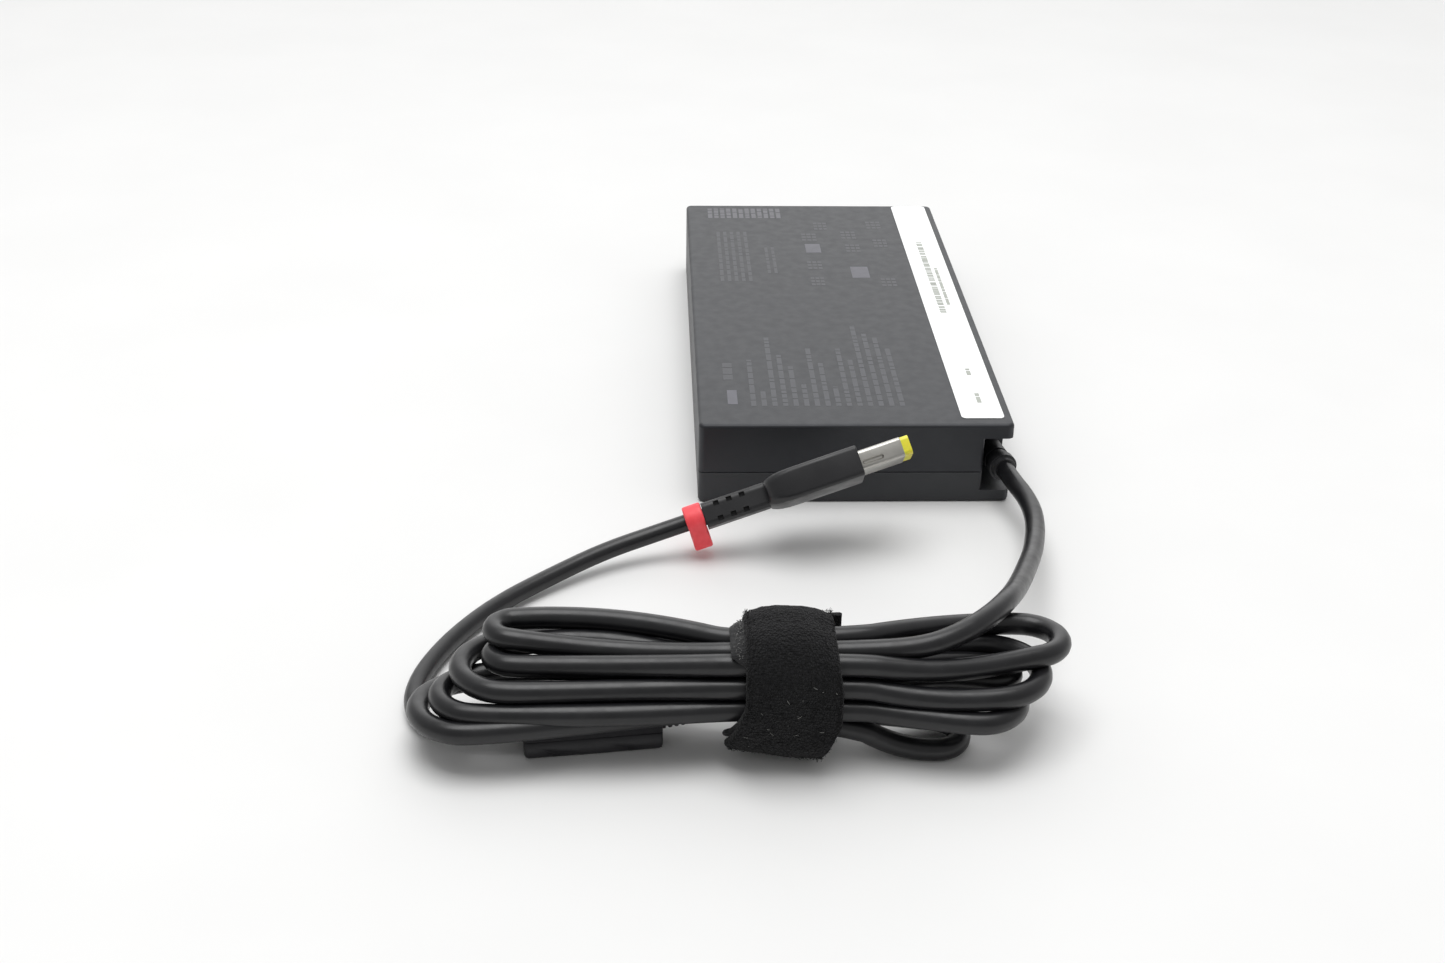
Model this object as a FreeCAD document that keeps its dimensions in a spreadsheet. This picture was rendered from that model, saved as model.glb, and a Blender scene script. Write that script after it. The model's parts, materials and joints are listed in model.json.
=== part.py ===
import FreeCAD, Part
import math
import os
import re

import Sketcher
from FreeCAD import Placement, Rotation, Vector

# A slim laptop power adapter lying on a table, in millimetres: +X to the right, +Y from the cord
# end to the mains inlet, +Z up. The origin is under the middle of the brick, on the table.

SIZES = {
    # brick
    "case_length": 153.0, "case_width": 76.0, "case_height": 21.0, "wall": 2.2,
    "parting_level": 8.2, "corner_radius": 1.6, "edge_radius": 0.9, "seam_bevel": 0.25,
    # corner recess that the cord leaves through
    "recess_width": 7.0, "recess_depth": 13.0, "recess_floor": 3.3, "recess_roof": 17.3,
    "recess_edge": 0.8, "neck_diameter": 5.2,
    # mains inlet in the far end
    "inlet_width": 26.8, "inlet_height": 18.4, "inlet_depth": 22.0,
    "cavity_width": 24.2, "cavity_height": 16.0, "cavity_depth": 17.0, "cavity_chamfer": 4.0,
    "pin_width": 2.0, "pin_height": 4.0, "pin_length": 25.0, "pin_spacing": 14.0, "pin_inset": 5.0,
    # printed circuit board and its level above the table
    "board_length": 110.0, "board_width": 66.0, "board_thickness": 1.6, "board_level": 4.4,
    "board_middle": -4.0,
    # sticker
    "sticker_width": 10.4, "sticker_length": 148.2, "sticker_thickness": 0.12, "sticker_margin": 2.0,
    # cords
    "cord_diameter": 4.5, "branch_diameter": 4.0, "bend_share": 0.45,
    # ferrite bead on the cord
    "bead_length": 27.0, "bead_width": 12.0, "bead_height": 10.0, "bead_turn": 6.8, "bead_wall": 1.6,
    # hook-and-loop strap
    "strap_width": 20.0, "hook_thickness": 1.8, "pile_thickness": 2.2, "tab_length": 17.0,
    # connector at the end of the cord
    "relief_length": 15.0, "grip_length": 22.5, "grip_width": 14.5, "grip_thickness": 7.25,
    "shell_length": 10.1, "shell_width": 11.0, "shell_thickness": 4.7, "tip_length": 1.9,
    "shell_skin": 0.5, "centre_pin_diameter": 1.2,
    # marker band on the cord behind the connector
    "band_width": 4.4, "band_thickness": 1.4, "band_clearance": 0.3, "band_drop": 3.8,
}

doc = FreeCAD.newDocument("power_adapter")
sizes = doc.addObject("Spreadsheet::Sheet", "sizes")
for number, (name, value) in enumerate(SIZES.items(), start=1):
    sizes.set(f"A{number}", name)
    sizes.set(f"B{number}", str(value))
    sizes.setAlias(f"B{number}", name)
doc.recompute()

parts = []


def size(name):
    """One driving dimension, read back from the sheet."""
    return float(getattr(sizes, name))


def bind(item, prop, formula):
    """Ties a property to a formula in the sheet's words."""
    words = re.sub(r"[a-z][a-z_]*", lambda word: f"sizes.{word[0]}" if word[0] in SIZES else word[0], formula)
    item.setExpression(prop, words)


def keep(item, label):
    """Names a finished sub-part."""
    item.Label = label
    parts.append(item)
    return item


def block(name, low, extents):
    """A box from its lowest corner and its three sizes, each a formula."""
    item = doc.addObject("Part::Box", name)
    for prop, formula in zip(("Length", "Width", "Height"), extents):
        bind(item, prop, formula)
    for axis, formula in zip("xyz", low):
        bind(item, f"Placement.Base.{axis}", formula)
    return item


def cylinder(name, radius, height, base, direction=Vector(0, 0, 1)):
    """A round bar from the middle of one end."""
    item = doc.addObject("Part::Cylinder", name)
    bind(item, "Radius", radius)
    bind(item, "Height", height)
    item.Placement = Placement(Vector(*base), Rotation(Vector(0, 0, 1), direction))
    return item


def cut(name, base, tool):
    item = doc.addObject("Part::Cut", name)
    item.Base, item.Tool = base, tool
    return item


def fuse(name, *members):
    item = doc.addObject("Part::MultiFuse", name)
    item.Shapes = list(members)
    return item


def group(name, *members):
    """Separate solids that share one node."""
    item = doc.addObject("Part::Compound", name)
    item.Links = list(members)
    return item


def rounded(name, base, radius, wanted):
    """Rounds the edges that the test picks."""
    doc.recompute()
    item = doc.addObject("Part::Fillet", name)
    item.Base = base
    edges = [n for n, edge in enumerate(base.Shape.Edges, start=1) if wanted(edge)]
    item.Edges = [(n, radius, radius) for n in edges]
    return item


def along(edge, direction):
    """Whether a straight edge runs along a direction."""
    if not isinstance(edge.Curve, Part.Line):
        return False
    return abs(abs(edge.Curve.Direction.dot(direction)) - 1) < 1e-6


def upright(edge):
    return along(edge, Vector(0, 0, 1))


# ---- PartDesign helpers ----------------------------------------------------------------------

def new_body(name):
    return doc.addObject("PartDesign::Body", name)


def sketch_on(body, plane, name, offset=("0", "0", "0")):
    """A sketch on one of the body's own origin planes, moved by three formulas."""
    sketch = body.newObject("Sketcher::SketchObject", name)
    face = next(f for f in body.Origin.OriginFeatures if f.Role == plane)
    sketch.AttachmentSupport = [(face, "")]
    sketch.MapMode = "FlatFace"
    for axis, formula in zip("xyz", offset):
        bind(sketch, f"AttachmentOffset.Base.{axis}", formula)
    return sketch


def rectangle(sketch, width, height):
    """A rectangle centred on the sketch's origin."""
    corners = [(-1, -1), (1, -1), (1, 1), (-1, 1)]
    points = [Vector(3 * x, 2 * y, 0) for x, y in corners]
    lines = [sketch.addGeometry(Part.LineSegment(points[n], points[(n + 1) % 4])) for n in range(4)]
    for n in range(4):
        sketch.addConstraint(Sketcher.Constraint("Coincident", lines[n], 2, lines[(n + 1) % 4], 1))
        sketch.addConstraint(Sketcher.Constraint("Horizontal" if n % 2 == 0 else "Vertical", lines[n]))
    sketch.addConstraint(Sketcher.Constraint("Symmetric", lines[0], 1, lines[1], 2, -1, 1))
    for text, line, kind, formula in (("wide", lines[0], "DistanceX", width), ("high", lines[1], "DistanceY", height)):
        number = sketch.addConstraint(Sketcher.Constraint(kind, line, 1, line, 2, 4.0))
        sketch.renameConstraint(number, text)
        bind(sketch, f"Constraints.{text}", formula)


def pad(body, sketch, name, length, reverse=False):
    item = body.newObject("PartDesign::Pad", name)
    item.Profile = sketch
    item.Reversed = reverse
    bind(item, "Length", length)
    doc.recompute()
    return item


def pocket(body, sketch, name, length, reverse=False):
    """A pocket, checked to have removed something."""
    before = body.Shape.Volume
    item = body.newObject("PartDesign::Pocket", name)
    item.Profile = sketch
    item.Reversed = reverse
    bind(item, "Length", length)
    doc.recompute()
    if body.Shape.Volume > before - 1e-3:
        raise RuntimeError(f"{name} removes nothing")
    return item


def dress(body, kind, name, formula, wanted):
    """A PartDesign Fillet or Chamfer on the edges that the test picks."""
    base = body.Tip
    item = body.newObject(f"PartDesign::{kind}", name)
    edges = [f"Edge{n}" for n, edge in enumerate(base.Shape.Edges, start=1) if wanted(edge)]
    item.Base = (base, edges)
    bind(item, "Radius" if kind == "Fillet" else "Size", formula)
    doc.recompute()
    return item


def turned(name, outline):
    """A body turned about its own Z axis from an outline of (radius, level) pairs."""
    body = new_body(name)
    sketch = sketch_on(body, "XZ_Plane", f"{name}_outline")
    points = [Vector(radius, level, 0) for radius, level in outline]
    for start, end in zip(points, points[1:] + points[:1]):
        sketch.addGeometry(Part.LineSegment(start, end))
    item = body.newObject("PartDesign::Revolution", f"{name}_turn")
    item.Profile = sketch
    item.ReferenceAxis = (sketch, ["V_Axis"])
    item.Angle = 360
    doc.recompute()
    return body


# ---- case shells -----------------------------------------------------------------------------

relief_turn = math.radians(11)
relief_direction = Vector(math.sin(relief_turn), -math.cos(relief_turn), 0)
relief_end = Vector(36.3, -77.2, 9.3)
relief_reach = 16.2


def on_rim(level):
    """Picks the edges of a flat outer rim at one level."""
    return lambda edge: all(abs(v.Z - level) < 1e-6 for v in edge.Vertexes) and edge.Length > 1


def corner_block(body, name, low, high):
    """The walls round the corner recess, from one level to another."""
    offset = ("case_width / 2 - (recess_width + wall) / 2", "(recess_depth + wall - case_length) / 2", low)
    sketch = sketch_on(body, "XY_Plane", f"{name}_corner_sketch", offset)
    rectangle(sketch, "recess_width + wall - 0.8", "recess_depth + wall - 0.8")
    pad(body, sketch, f"{name}_corner", f"{high} - ({low})")


def corner_recess(body, name, low, high):
    """The recess itself, open to the front and to the side."""
    offset = ("case_width / 2 - recess_width / 2 + 5", "(recess_depth - case_length) / 2 - 5", low)
    sketch = sketch_on(body, "XY_Plane", f"{name}_recess_sketch", offset)
    rectangle(sketch, "recess_width + 10", "recess_depth + 10")
    pocket(body, sketch, f"{name}_recess", f"{high} - ({low})", reverse=True)


def recess_edge(edge):
    """The upright edge where the recess meets the end face."""
    middle = edge.CenterOfMass
    across = abs(middle.x - size("case_width") / 2 + size("recess_width")) < 0.01
    return upright(edge) and across and abs(middle.y + size("case_length") / 2) < 0.01


def inlet_window(body, name):
    """The opening in the far end that the mains inlet fills."""
    sketch = sketch_on(body, "XZ_Plane", f"{name}_window_sketch", ("0", "case_height / 2", "0"))
    bind(sketch, "AttachmentOffset.Base.z", "-(case_length / 2 - inlet_depth)")
    rectangle(sketch, "inlet_width", "inlet_height")
    pocket(body, sketch, f"{name}_window", "inlet_depth + 5")


def shell(name, low, high, roof, cavity_low, cavity_high, recess_low, recess_high):
    """One half of the case: a rounded slab, hollowed, with the corner recess and the inlet window."""
    body = new_body(f"{name}_body")
    outline = sketch_on(body, "XY_Plane", f"{name}_outline", ("0", "0", low))
    rectangle(outline, "case_width", "case_length")
    pad(body, outline, f"{name}_slab", f"{high} - ({low})")
    dress(body, "Fillet", f"{name}_corners", "corner_radius", upright)
    dress(body, "Fillet", f"{name}_rim", "edge_radius", on_rim(size(roof) if roof else 0.0))
    dress(body, "Chamfer", f"{name}_seam", "seam_bevel", on_rim(size("parting_level")))
    inside = sketch_on(body, "XY_Plane", f"{name}_inside_sketch", ("0", "0", cavity_low))
    rectangle(inside, "case_width - 2 * wall", "case_length - 2 * wall")
    pocket(body, inside, f"{name}_inside", f"{cavity_high} - ({cavity_low})", reverse=True)
    corner_block(body, name, cavity_low, cavity_high)
    corner_recess(body, name, recess_low, recess_high)
    dress(body, "Fillet", f"{name}_recess_edge", "recess_edge", recess_edge)
    inlet_window(body, name)
    hole = cylinder(f"{name}_relief_hole", "neck_diameter / 2 + 0.1", "9",
                    relief_end - relief_direction * (relief_reach + 1), relief_direction)
    seat = cylinder(f"{name}_relief_seat", "neck_diameter / 2 + 0.8", "11",
                    relief_end - relief_direction * (relief_reach - 2.6), relief_direction)
    return keep(cut(name, body, fuse(f"{name}_relief_room", hole, seat)), name)


shell("top_shell", "parting_level", "case_height", "case_height",
      "parting_level", "case_height - wall", "parting_level", "recess_roof")
shell("bottom_shell", "0", "parting_level", None,
      "wall", "parting_level", "recess_floor", "parting_level")

# The sticker lies on the top face along the right edge, from the far rim to near the cord end.
sticker = block("sticker_sheet",
                ("case_width / 2 - sticker_margin - sticker_width", "-case_length / 2 + 3.6", "case_height"),
                ("sticker_width", "sticker_length", "sticker_thickness"))
keep(rounded("white_sticker", sticker, 1.2, upright), "white_sticker")

# ---- mains inlet -----------------------------------------------------------------------------

inlet = new_body("inlet_housing_body")
inlet_outline = sketch_on(inlet, "XZ_Plane", "inlet_outline", ("0", "case_height / 2", "0"))
bind(inlet_outline, "AttachmentOffset.Base.z", "-case_length / 2")
rectangle(inlet_outline, "inlet_width", "inlet_height")
pad(inlet, inlet_outline, "inlet_block", "inlet_depth")
cavity = sketch_on(inlet, "XZ_Plane", "inlet_cavity_sketch", ("0", "case_height / 2", "0"))
bind(cavity, "AttachmentOffset.Base.z", "-(case_length / 2 - cavity_depth)")
rectangle(cavity, "cavity_width", "cavity_height")
pocket(inlet, cavity, "inlet_cavity", "cavity_depth + 1")


def cavity_corner(edge):
    """The two upper long edges inside the cavity, which the standard outline chamfers."""
    middle = edge.CenterOfMass
    inside = abs(abs(middle.x) - size("cavity_width") / 2) < 0.01
    return along(edge, Vector(0, 1, 0)) and inside and middle.z > size("case_height") / 2


dress(inlet, "Chamfer", "inlet_key", "cavity_chamfer", cavity_corner)
pin_low_level = "case_height / 2 - 2 - pin_height / 2"
pin_high_level = "case_height / 2 + 2 - pin_height / 2"
PINS = {
    "line_pin": ("pin_spacing / 2 - pin_width / 2", pin_low_level),
    "neutral_pin": ("-pin_spacing / 2 - pin_width / 2", pin_low_level),
    "earth_pin": ("-pin_width / 2", pin_high_level),
}


def pin_block(name, grow):
    """A blade pin, or the slot that holds it when it is grown."""
    left, low = PINS[name]
    corner = (f"{left} - {grow}", "case_length / 2 - pin_inset - pin_length", f"{low} - {grow}")
    return block(f"{name}_{'slot' if grow else 'blade'}", corner,
                 (f"pin_width + 2 * {grow}", "pin_length", f"pin_height + 2 * {grow}"))


pin_slots = fuse("inlet_pin_slots", *[pin_block(name, 0.02) for name in PINS])
keep(cut("inlet_housing", inlet, pin_slots), "inlet_housing")
for pin_name in PINS:
    blade = pin_block(pin_name, 0)
    keep(rounded(pin_name, blade, 0.6, lambda edge: along(edge, Vector(0, 1, 0))), pin_name)

# ---- board and what stands on it -------------------------------------------------------------

board_top = size("board_level") + size("board_thickness")
board = block("circuit_board", ("-board_width / 2", "board_middle - board_length / 2", "board_level"),
              ("board_width", "board_length", "board_thickness"))
keep(board, "circuit_board")
TOP = "board_level + board_thickness"


def standing(name, x, y, length, width, height, lift="0"):
    """A box that stands on the board, given by the middle of its foot."""
    return block(name, (f"{x} - {length} / 2", f"{y} - {width} / 2", f"{TOP} + {lift}"),
                 (str(length), str(width), str(height)))


keep(standing("input_fuse", -24, 48.5, 9, 4.2, 8), "input_fuse")
keep(standing("x_capacitor", 12, 40.5, 26, 9, 11.5), "x_capacitor")
keep(standing("bridge_rectifier", 20, 31.5, 21, 4.2, 11), "bridge_rectifier")
keep(standing("optocoupler", -6, -44.5, 4.6, 6.6, 3.4), "optocoupler")
keep(standing("controller_chip", 8, -42.5, 10, 4, 1.6), "controller_chip")
keep(standing("thermal_pad", -4, -24, 26, 22, 0.5, "11.8"), "thermal_pad")

# Common-mode choke: a ring core with a winding on each side.
choke_place = Placement(Vector(-20, 33, board_top + 4.4), Rotation())


def ring(name, major, minor, start=0.0, sweep=360.0):
    """A ring, or a sector of one, lying flat about the choke's middle."""
    item = doc.addObject("Part::Torus", name)
    item.Radius1, item.Radius2 = major, minor
    item.Angle3 = sweep
    item.Placement = choke_place.multiply(Placement(Vector(), Rotation(Vector(0, 0, 1), start)))
    return item


keep(ring("choke_core", 7.2, 3.0), "choke_core")
coils = group("choke_coils", *[ring(f"choke_coil_{start}", 7.2, 4.1, start, 130) for start in (25, 205)])
keep(cut("choke_winding", coils, ring("choke_hollow", 7.2, 3.02)), "choke_winding")

# Bulk capacitors lie along the board beside each other.
for number, x in enumerate((-26.5, -13.5), start=1):
    can = cylinder(f"bulk_can_{number}", "5.9", "27", (x, -7.4, board_top + 6), Vector(0, 1, 0))
    keep(rounded(f"bulk_capacitor_{number}", can, 0.8, lambda edge: True), f"bulk_capacitor_{number}")

# Power-factor inductor and transformer: a winding between the legs of a ferrite core.
for name, x, y, length, width in (("inductor", 14, 14, 22, 24), ("transformer", -4, -24, 30, 27)):
    frame_block = standing(f"{name}_frame", x, y, length, width, 11.8)
    window = standing(f"{name}_window", x, y, length - 6, width + 2, 7.4, "2.2")
    leg = standing(f"{name}_leg", x, y, length / 3, width, 11.8)
    keep(fuse(f"{name}_core", cut(f"{name}_yoke", frame_block, window), leg), f"{name}_core")
    wound = standing(f"{name}_wound", x, y, length - 6.4, width + 5, 7.0, "2.4")
    bore = standing(f"{name}_bore", x, y, length / 3 + 0.4, width + 0.4, 8.0, "1.9")
    keep(cut(f"{name}_winding", rounded(f"{name}_coil", wound, 1.0, upright), bore), f"{name}_winding")

# Heat sinks stand along both sides, with the power transistors against them.
HEATSINKS = {"primary": (31, -1, 4, 50, (-10, 20)), "secondary": (-31, 1, -34, 36, (-43, -28))}
for side, (x, lean, middle, length, device_places) in HEATSINKS.items():
    keep(standing(f"{side}_heatsink", x, middle, 1.6, length, 11), f"{side}_heatsink")
    devices = [standing(f"{side}_device_{n}", x + lean * 3.05, y, 4.4, 10, 10.4)
               for n, y in enumerate(device_places, start=1)]
    keep(group(f"{side}_transistors", *devices), f"{side}_transistors")

cans = [cylinder(f"output_can_{n}", "4", "11", (x, -54, board_top)) for n, x in enumerate((-22, -12.5, -3), start=1)]
keep(group("output_capacitors", *cans), "output_capacitors")
discs = [cylinder(f"y_disc_{n}", "3.6", "3", (-3, y, board_top + 3.7), Vector(0, 1, 0))
         for n, y in enumerate((23, 30), start=1)]
keep(group("y_capacitors", *discs), "y_capacitors")

# Heat spreaders line both shells, and a film keeps the solder side off the lower one.
SPREADER = ("board_width - 8", "board_length - 12", "0.5")
keep(block("upper_heat_spreader", ("4 - board_width / 2", "board_middle + 8 - board_length / 2",
                                   "case_height - wall - 0.5"), SPREADER), "upper_heat_spreader")
keep(block("lower_heat_spreader", ("4 - board_width / 2", "board_middle + 8 - board_length / 2", "wall"), SPREADER),
     "lower_heat_spreader")
keep(block("insulating_film", ("3 - board_width / 2", "board_middle + 6 - board_length / 2", "wall + 0.7"),
           ("board_width - 6", "board_length - 8", "0.25")), "insulating_film")

# ---- cords -----------------------------------------------------------------------------------


def bend_radius(before, corner, after):
    """The radius that a corner of a route is rounded to."""
    incoming, outgoing = corner - before, after - corner
    turn = incoming.getAngle(outgoing)
    shorter = min(incoming.Length, outgoing.Length)
    return size("bend_share") * shorter / math.tan(turn / 2)


def route_wire(points):
    """Straight runs joined by tangent arcs."""
    points = [Vector(*p) for p in points]
    edges, start = [], points[0]
    for before, corner, after in zip(points, points[1:], points[2:]):
        back, ahead = (before - corner).normalize(), (after - corner).normalize()
        reach = size("bend_share") * min((before - corner).Length, (after - corner).Length)
        radius = bend_radius(before, corner, after)
        middle = (back + ahead).normalize()
        half_turn = (math.pi - back.getAngle(ahead)) / 2
        apex = corner + middle * (radius / math.cos(half_turn) - radius)
        arc_start, arc_end = corner + back * reach, corner + ahead * reach
        edges.append(Part.LineSegment(start, arc_start).toShape())
        edges.append(Part.Arc(arc_start, apex, arc_end).toShape())
        start = arc_end
    edges.append(Part.LineSegment(start, points[-1]).toShape())
    return Part.Wire(edges)


def tube(label, diameter, points):
    """A round cord along a route, checked against its section times its length."""
    wire = route_wire(points)
    first = (Vector(*points[1]) - Vector(*points[0])).normalize()
    section = Part.Wire(Part.makeCircle(diameter / 2, Vector(*points[0]), first))
    item = doc.addObject("Part::Feature", label)
    item.Shape = wire.makePipeShell([section], True, True)
    item.Placement = Placement()
    vectors = [Vector(*p) for p in points]
    radii = [bend_radius(*three) / diameter for three in zip(vectors, vectors[1:], vectors[2:])]
    expected = math.pi * diameter ** 2 / 4 * wire.Length
    print(f"{label}: length {wire.Length:.1f} mm, volume {item.Shape.Volume / expected:.4f} of the expected,"
          f" bend radii in diameters {[round(r, 1) for r in radii]}")
    return keep(item, label)


# The cord leaves the corner of the case, rises over the hank's top loop and dives into it.
ADAPTER_RUN = [
    tuple(relief_end), (37.4, -83.8, 9.25), (38.9, -90.4, 9.2), (39.3, -97.4, 9.25), (38.6, -104.6, 9.6),
    (36.9, -112.6, 10.6), (34.6, -121.4, 12.2), (31.5, -131.0, 14.5), (28.2, -140.8, 17.1),
    (24.9, -150.0, 19.9), (21.6, -158.2, 22.8),
]
tube("cord_adapter_run", size("cord_diameter"), ADAPTER_RUN)

# From the bead's left end the cord turns back on the table and rises to the connector.
bead_angle = math.radians(size("bead_turn"))
bead_direction = Vector(math.cos(bead_angle), math.sin(bead_angle), 0)
bead_middle = Vector(-61.4, -172.0, size("bead_height") / 2)
bead_relief_length = 6.5
bead_left = bead_middle - bead_direction * (size("bead_length") / 2 + bead_relief_length)
bead_right = bead_middle + bead_direction * (size("bead_length") / 2 + bead_relief_length)

plug_start = Vector(-37.2, -101, 9.9)
plug_direction = Vector(0.947, 0.133, 0.292).normalize()
PLUG_RUN = [
    tuple(bead_left), (-85.9, -174.9, 4.6), (-91.6, -173.8, 3.1), (-96.2, -168.0, 2.35), (-97.8, -159.6, 2.2),
    (-95.8, -149.4, 2.15), (-90.6, -137.4, 2.2), (-82.6, -125.6, 2.35), (-71.8, -115.6, 3.0),
    (-60.2, -107.4, 4.6), tuple(plug_start - plug_direction * 11.5), tuple(plug_start),
]
tube("cord_plug_run", size("branch_diameter"), PLUG_RUN)
tube("cord_bead_lead", size("cord_diameter"), [tuple(bead_right), tuple(bead_right + bead_direction * 3.7)])

# ---- hank ------------------------------------------------------------------------------------

strap_middle = Vector(-21.5, -174, 0)
waist = {"front": -182.6, "back": -167.0, "floor": 4.1, "roof": 24.6, "reach": 14.5, "rounding": 6.0}


def prism(points, push):
    """A flat outline pushed into a solid."""
    points = [Vector(*p) for p in points]
    return Part.Face(Part.makePolygon(points + points[:1])).extrude(Vector(*push))


def lobe(plan, side):
    """The solid that fits both an outline seen from above and one seen from the front."""
    above = prism([(x, y, -1) for x, y in plan], (0, 0, 40))
    front = prism([(x, -200, z) for x, z in side], (0, 60, 0))
    return above.common(front)


def waist_block(name, left, length, grow):
    """A rounded oblong bar along X round the hank's waist, grown outwards by some amount."""
    item = doc.addObject("Part::Box", name)
    item.Length = length
    item.Width = waist["back"] - waist["front"] + 2 * grow
    item.Height = waist["roof"] - waist["floor"] + 2 * grow
    item.Placement.Base = Vector(left, waist["front"] - grow, waist["floor"] - grow)
    return rounded(f"{name}_rounded", item, waist["rounding"] + grow, lambda edge: along(edge, Vector(1, 0, 0)))


LEFT_PLAN = [(-36, -182.2), (-50, -184.6), (-66, -186.2), (-82, -186.0), (-91, -184.0), (-97.3, -176.6),
             (-97.3, -168.6), (-91, -158.6), (-82, -155.4), (-66, -156.0), (-50, -159.0), (-36, -167.4)]
LEFT_SIDE = [(-36, 10.4), (-80, 10.4), (-86, 8.0), (-97.3, 6.0), (-97.3, 10.8), (-90, 17.6), (-82.8, 23.0),
             (-68, 24.4), (-50, 24.8), (-36, 24.2)]
SKIRT_PLAN = [(-36, -182.2), (-50, -184.6), (-66, -186.2), (-82, -186.0), (-88, -183.8), (-88, -181.8),
              (-36, -180.6)]
SKIRT_SIDE = [(-36, 6.6), (-88, 6.4), (-88, 12), (-36, 12)]
RIGHT_PLAN = [(-7, -182.2), (4, -184.4), (16, -186.2), (23.4, -182.0), (33.7, -171.0), (33.7, -161.6),
              (28, -154.6), (16, -154.6), (4, -158.8), (-7, -167.4)]
RIGHT_SIDE = [(-7, 4.6), (-2, 1.0), (2, 0.1), (12.6, 0.1), (12.6, 5.4), (23.6, 6.8), (28, 12.4), (33.7, 15.6),
              (33.7, 19.8), (25.8, 19.0), (18.6, 19.0), (13, 21.4), (4, 24.0), (-7, 24.2)]
middle_block = waist_block("waist_core", strap_middle.x - waist["reach"], 2 * waist["reach"], 0)
doc.recompute()
lobes = [lobe(LEFT_PLAN, LEFT_SIDE), lobe(SKIRT_PLAN, SKIRT_SIDE), lobe(RIGHT_PLAN, RIGHT_SIDE)]
hank_shape = middle_block.Shape.fuse(lobes).removeSplitter()
hank = doc.addObject("Part::Feature", "cord_hank")
hank.Shape = hank_shape.Solids[0] if len(hank_shape.Solids) == 1 else hank_shape
hank.Placement = Placement()
keep(hank, "cord_hank")

# ---- strap -----------------------------------------------------------------------------------


hook_gap = 0.02


def wrap(name, shift, inner, thickness):
    """A band of tape round the hank's waist."""
    left = strap_middle.x - size("strap_width") / 2 + shift
    outside = waist_block(f"{name}_outside", left, size("strap_width"), inner + thickness)
    inside = waist_block(f"{name}_inside", left - 1, size("strap_width") + 2, inner)
    return keep(cut(name, outside, inside), name)


wrap("strap_hook_tape", -3.5, hook_gap, size("hook_thickness"))
wrap("strap_pile_tape", 0.0, 2 * hook_gap + size("hook_thickness"), size("pile_thickness"))

# The free end of the tape lies down the back of the strap and peels up about its upper edge.
tab_face = waist["back"] + hook_gap + size("hook_thickness") + size("pile_thickness") + 0.32
tab_top = 22.6
tab = block("tab_sheet", (f"0.5 - strap_width / 2 + {strap_middle.x}", str(tab_face), f"{tab_top} - tab_length"),
            ("strap_width - 1", "pile_thickness", "tab_length"))
keep(rounded("strap_tab", tab, 0.8, lambda edge: along(edge, Vector(1, 0, 0))), "strap_tab")

# ---- ferrite bead ----------------------------------------------------------------------------

bead_place = Placement(bead_middle, Rotation(Vector(0, 0, 1), size("bead_turn")))


def bead_box(name, length, width, height):
    """A box about the bead's middle, before the bead is turned."""
    item = doc.addObject("Part::Box", name)
    for prop, formula in (("Length", length), ("Width", width), ("Height", height)):
        bind(item, prop, formula)
    doc.recompute()
    half = Vector(item.Length.Value / 2, item.Width.Value / 2, item.Height.Value / 2)
    item.Placement = bead_place.multiply(Placement(-half, Rotation()))
    return item


def bead_edge(edge):
    return along(edge, bead_direction)


housing = rounded("bead_housing_block", bead_box("bead_block", "bead_length", "bead_width", "bead_height"),
                  1.0, bead_edge)
hollow = bead_box("bead_hollow", "bead_length - 2 * bead_wall", "bead_width - 2 * bead_wall",
                  "bead_height - 2 * bead_wall")


def bead_relief(name, sign):
    """A ribbed strain relief at one end of the bead."""
    outline = [(0, -0.5), (3.3, -0.5), (3.2, 1.2), (2.9, 1.2), (2.9, 1.9), (3.15, 1.9), (3.1, 2.9), (2.8, 2.9),
               (2.8, 3.6), (3.0, 3.6), (2.95, 4.6), (2.7, 4.6), (2.7, 5.3), (2.85, 5.3), (2.8, bead_relief_length),
               (0, bead_relief_length)]
    body = turned(name, outline)
    start = bead_middle + bead_direction * sign * size("bead_length") / 2
    body.Placement = Placement(start, Rotation(Vector(0, 0, 1), bead_direction * sign))
    return body


notches = []
for number, place in enumerate((-7.3, 7.3), start=1):
    notch = bead_box(f"bead_notch_{number}", "1.4", "1.2", "0.9")
    notch.Placement.Base += bead_place.Rotation.multVec(Vector(place, -size("bead_width") / 2, 0.7 - bead_middle.z))
    notches.append(notch)
solid_housing = cut("bead_skin", housing, fuse("bead_openings", hollow, *notches))
keep(fuse("bead_housing", solid_housing, bead_relief("bead_relief_right", 1), bead_relief("bead_relief_left", -1)),
     "bead_housing")
core = bead_box("bead_core_block", "bead_length - 2 * bead_wall - 0.4", "bead_width - 2 * bead_wall - 0.4",
                "bead_height - 2 * bead_wall - 0.4")
core_bore = cylinder("bead_core_bore", "cord_diameter / 2", "bead_length + 2",
                     bead_middle - bead_direction * (size("bead_length") / 2 + 1), bead_direction)
keep(cut("bead_core", core, core_bore), "bead_core")

# ---- strain relief at the case ---------------------------------------------------------------

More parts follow.
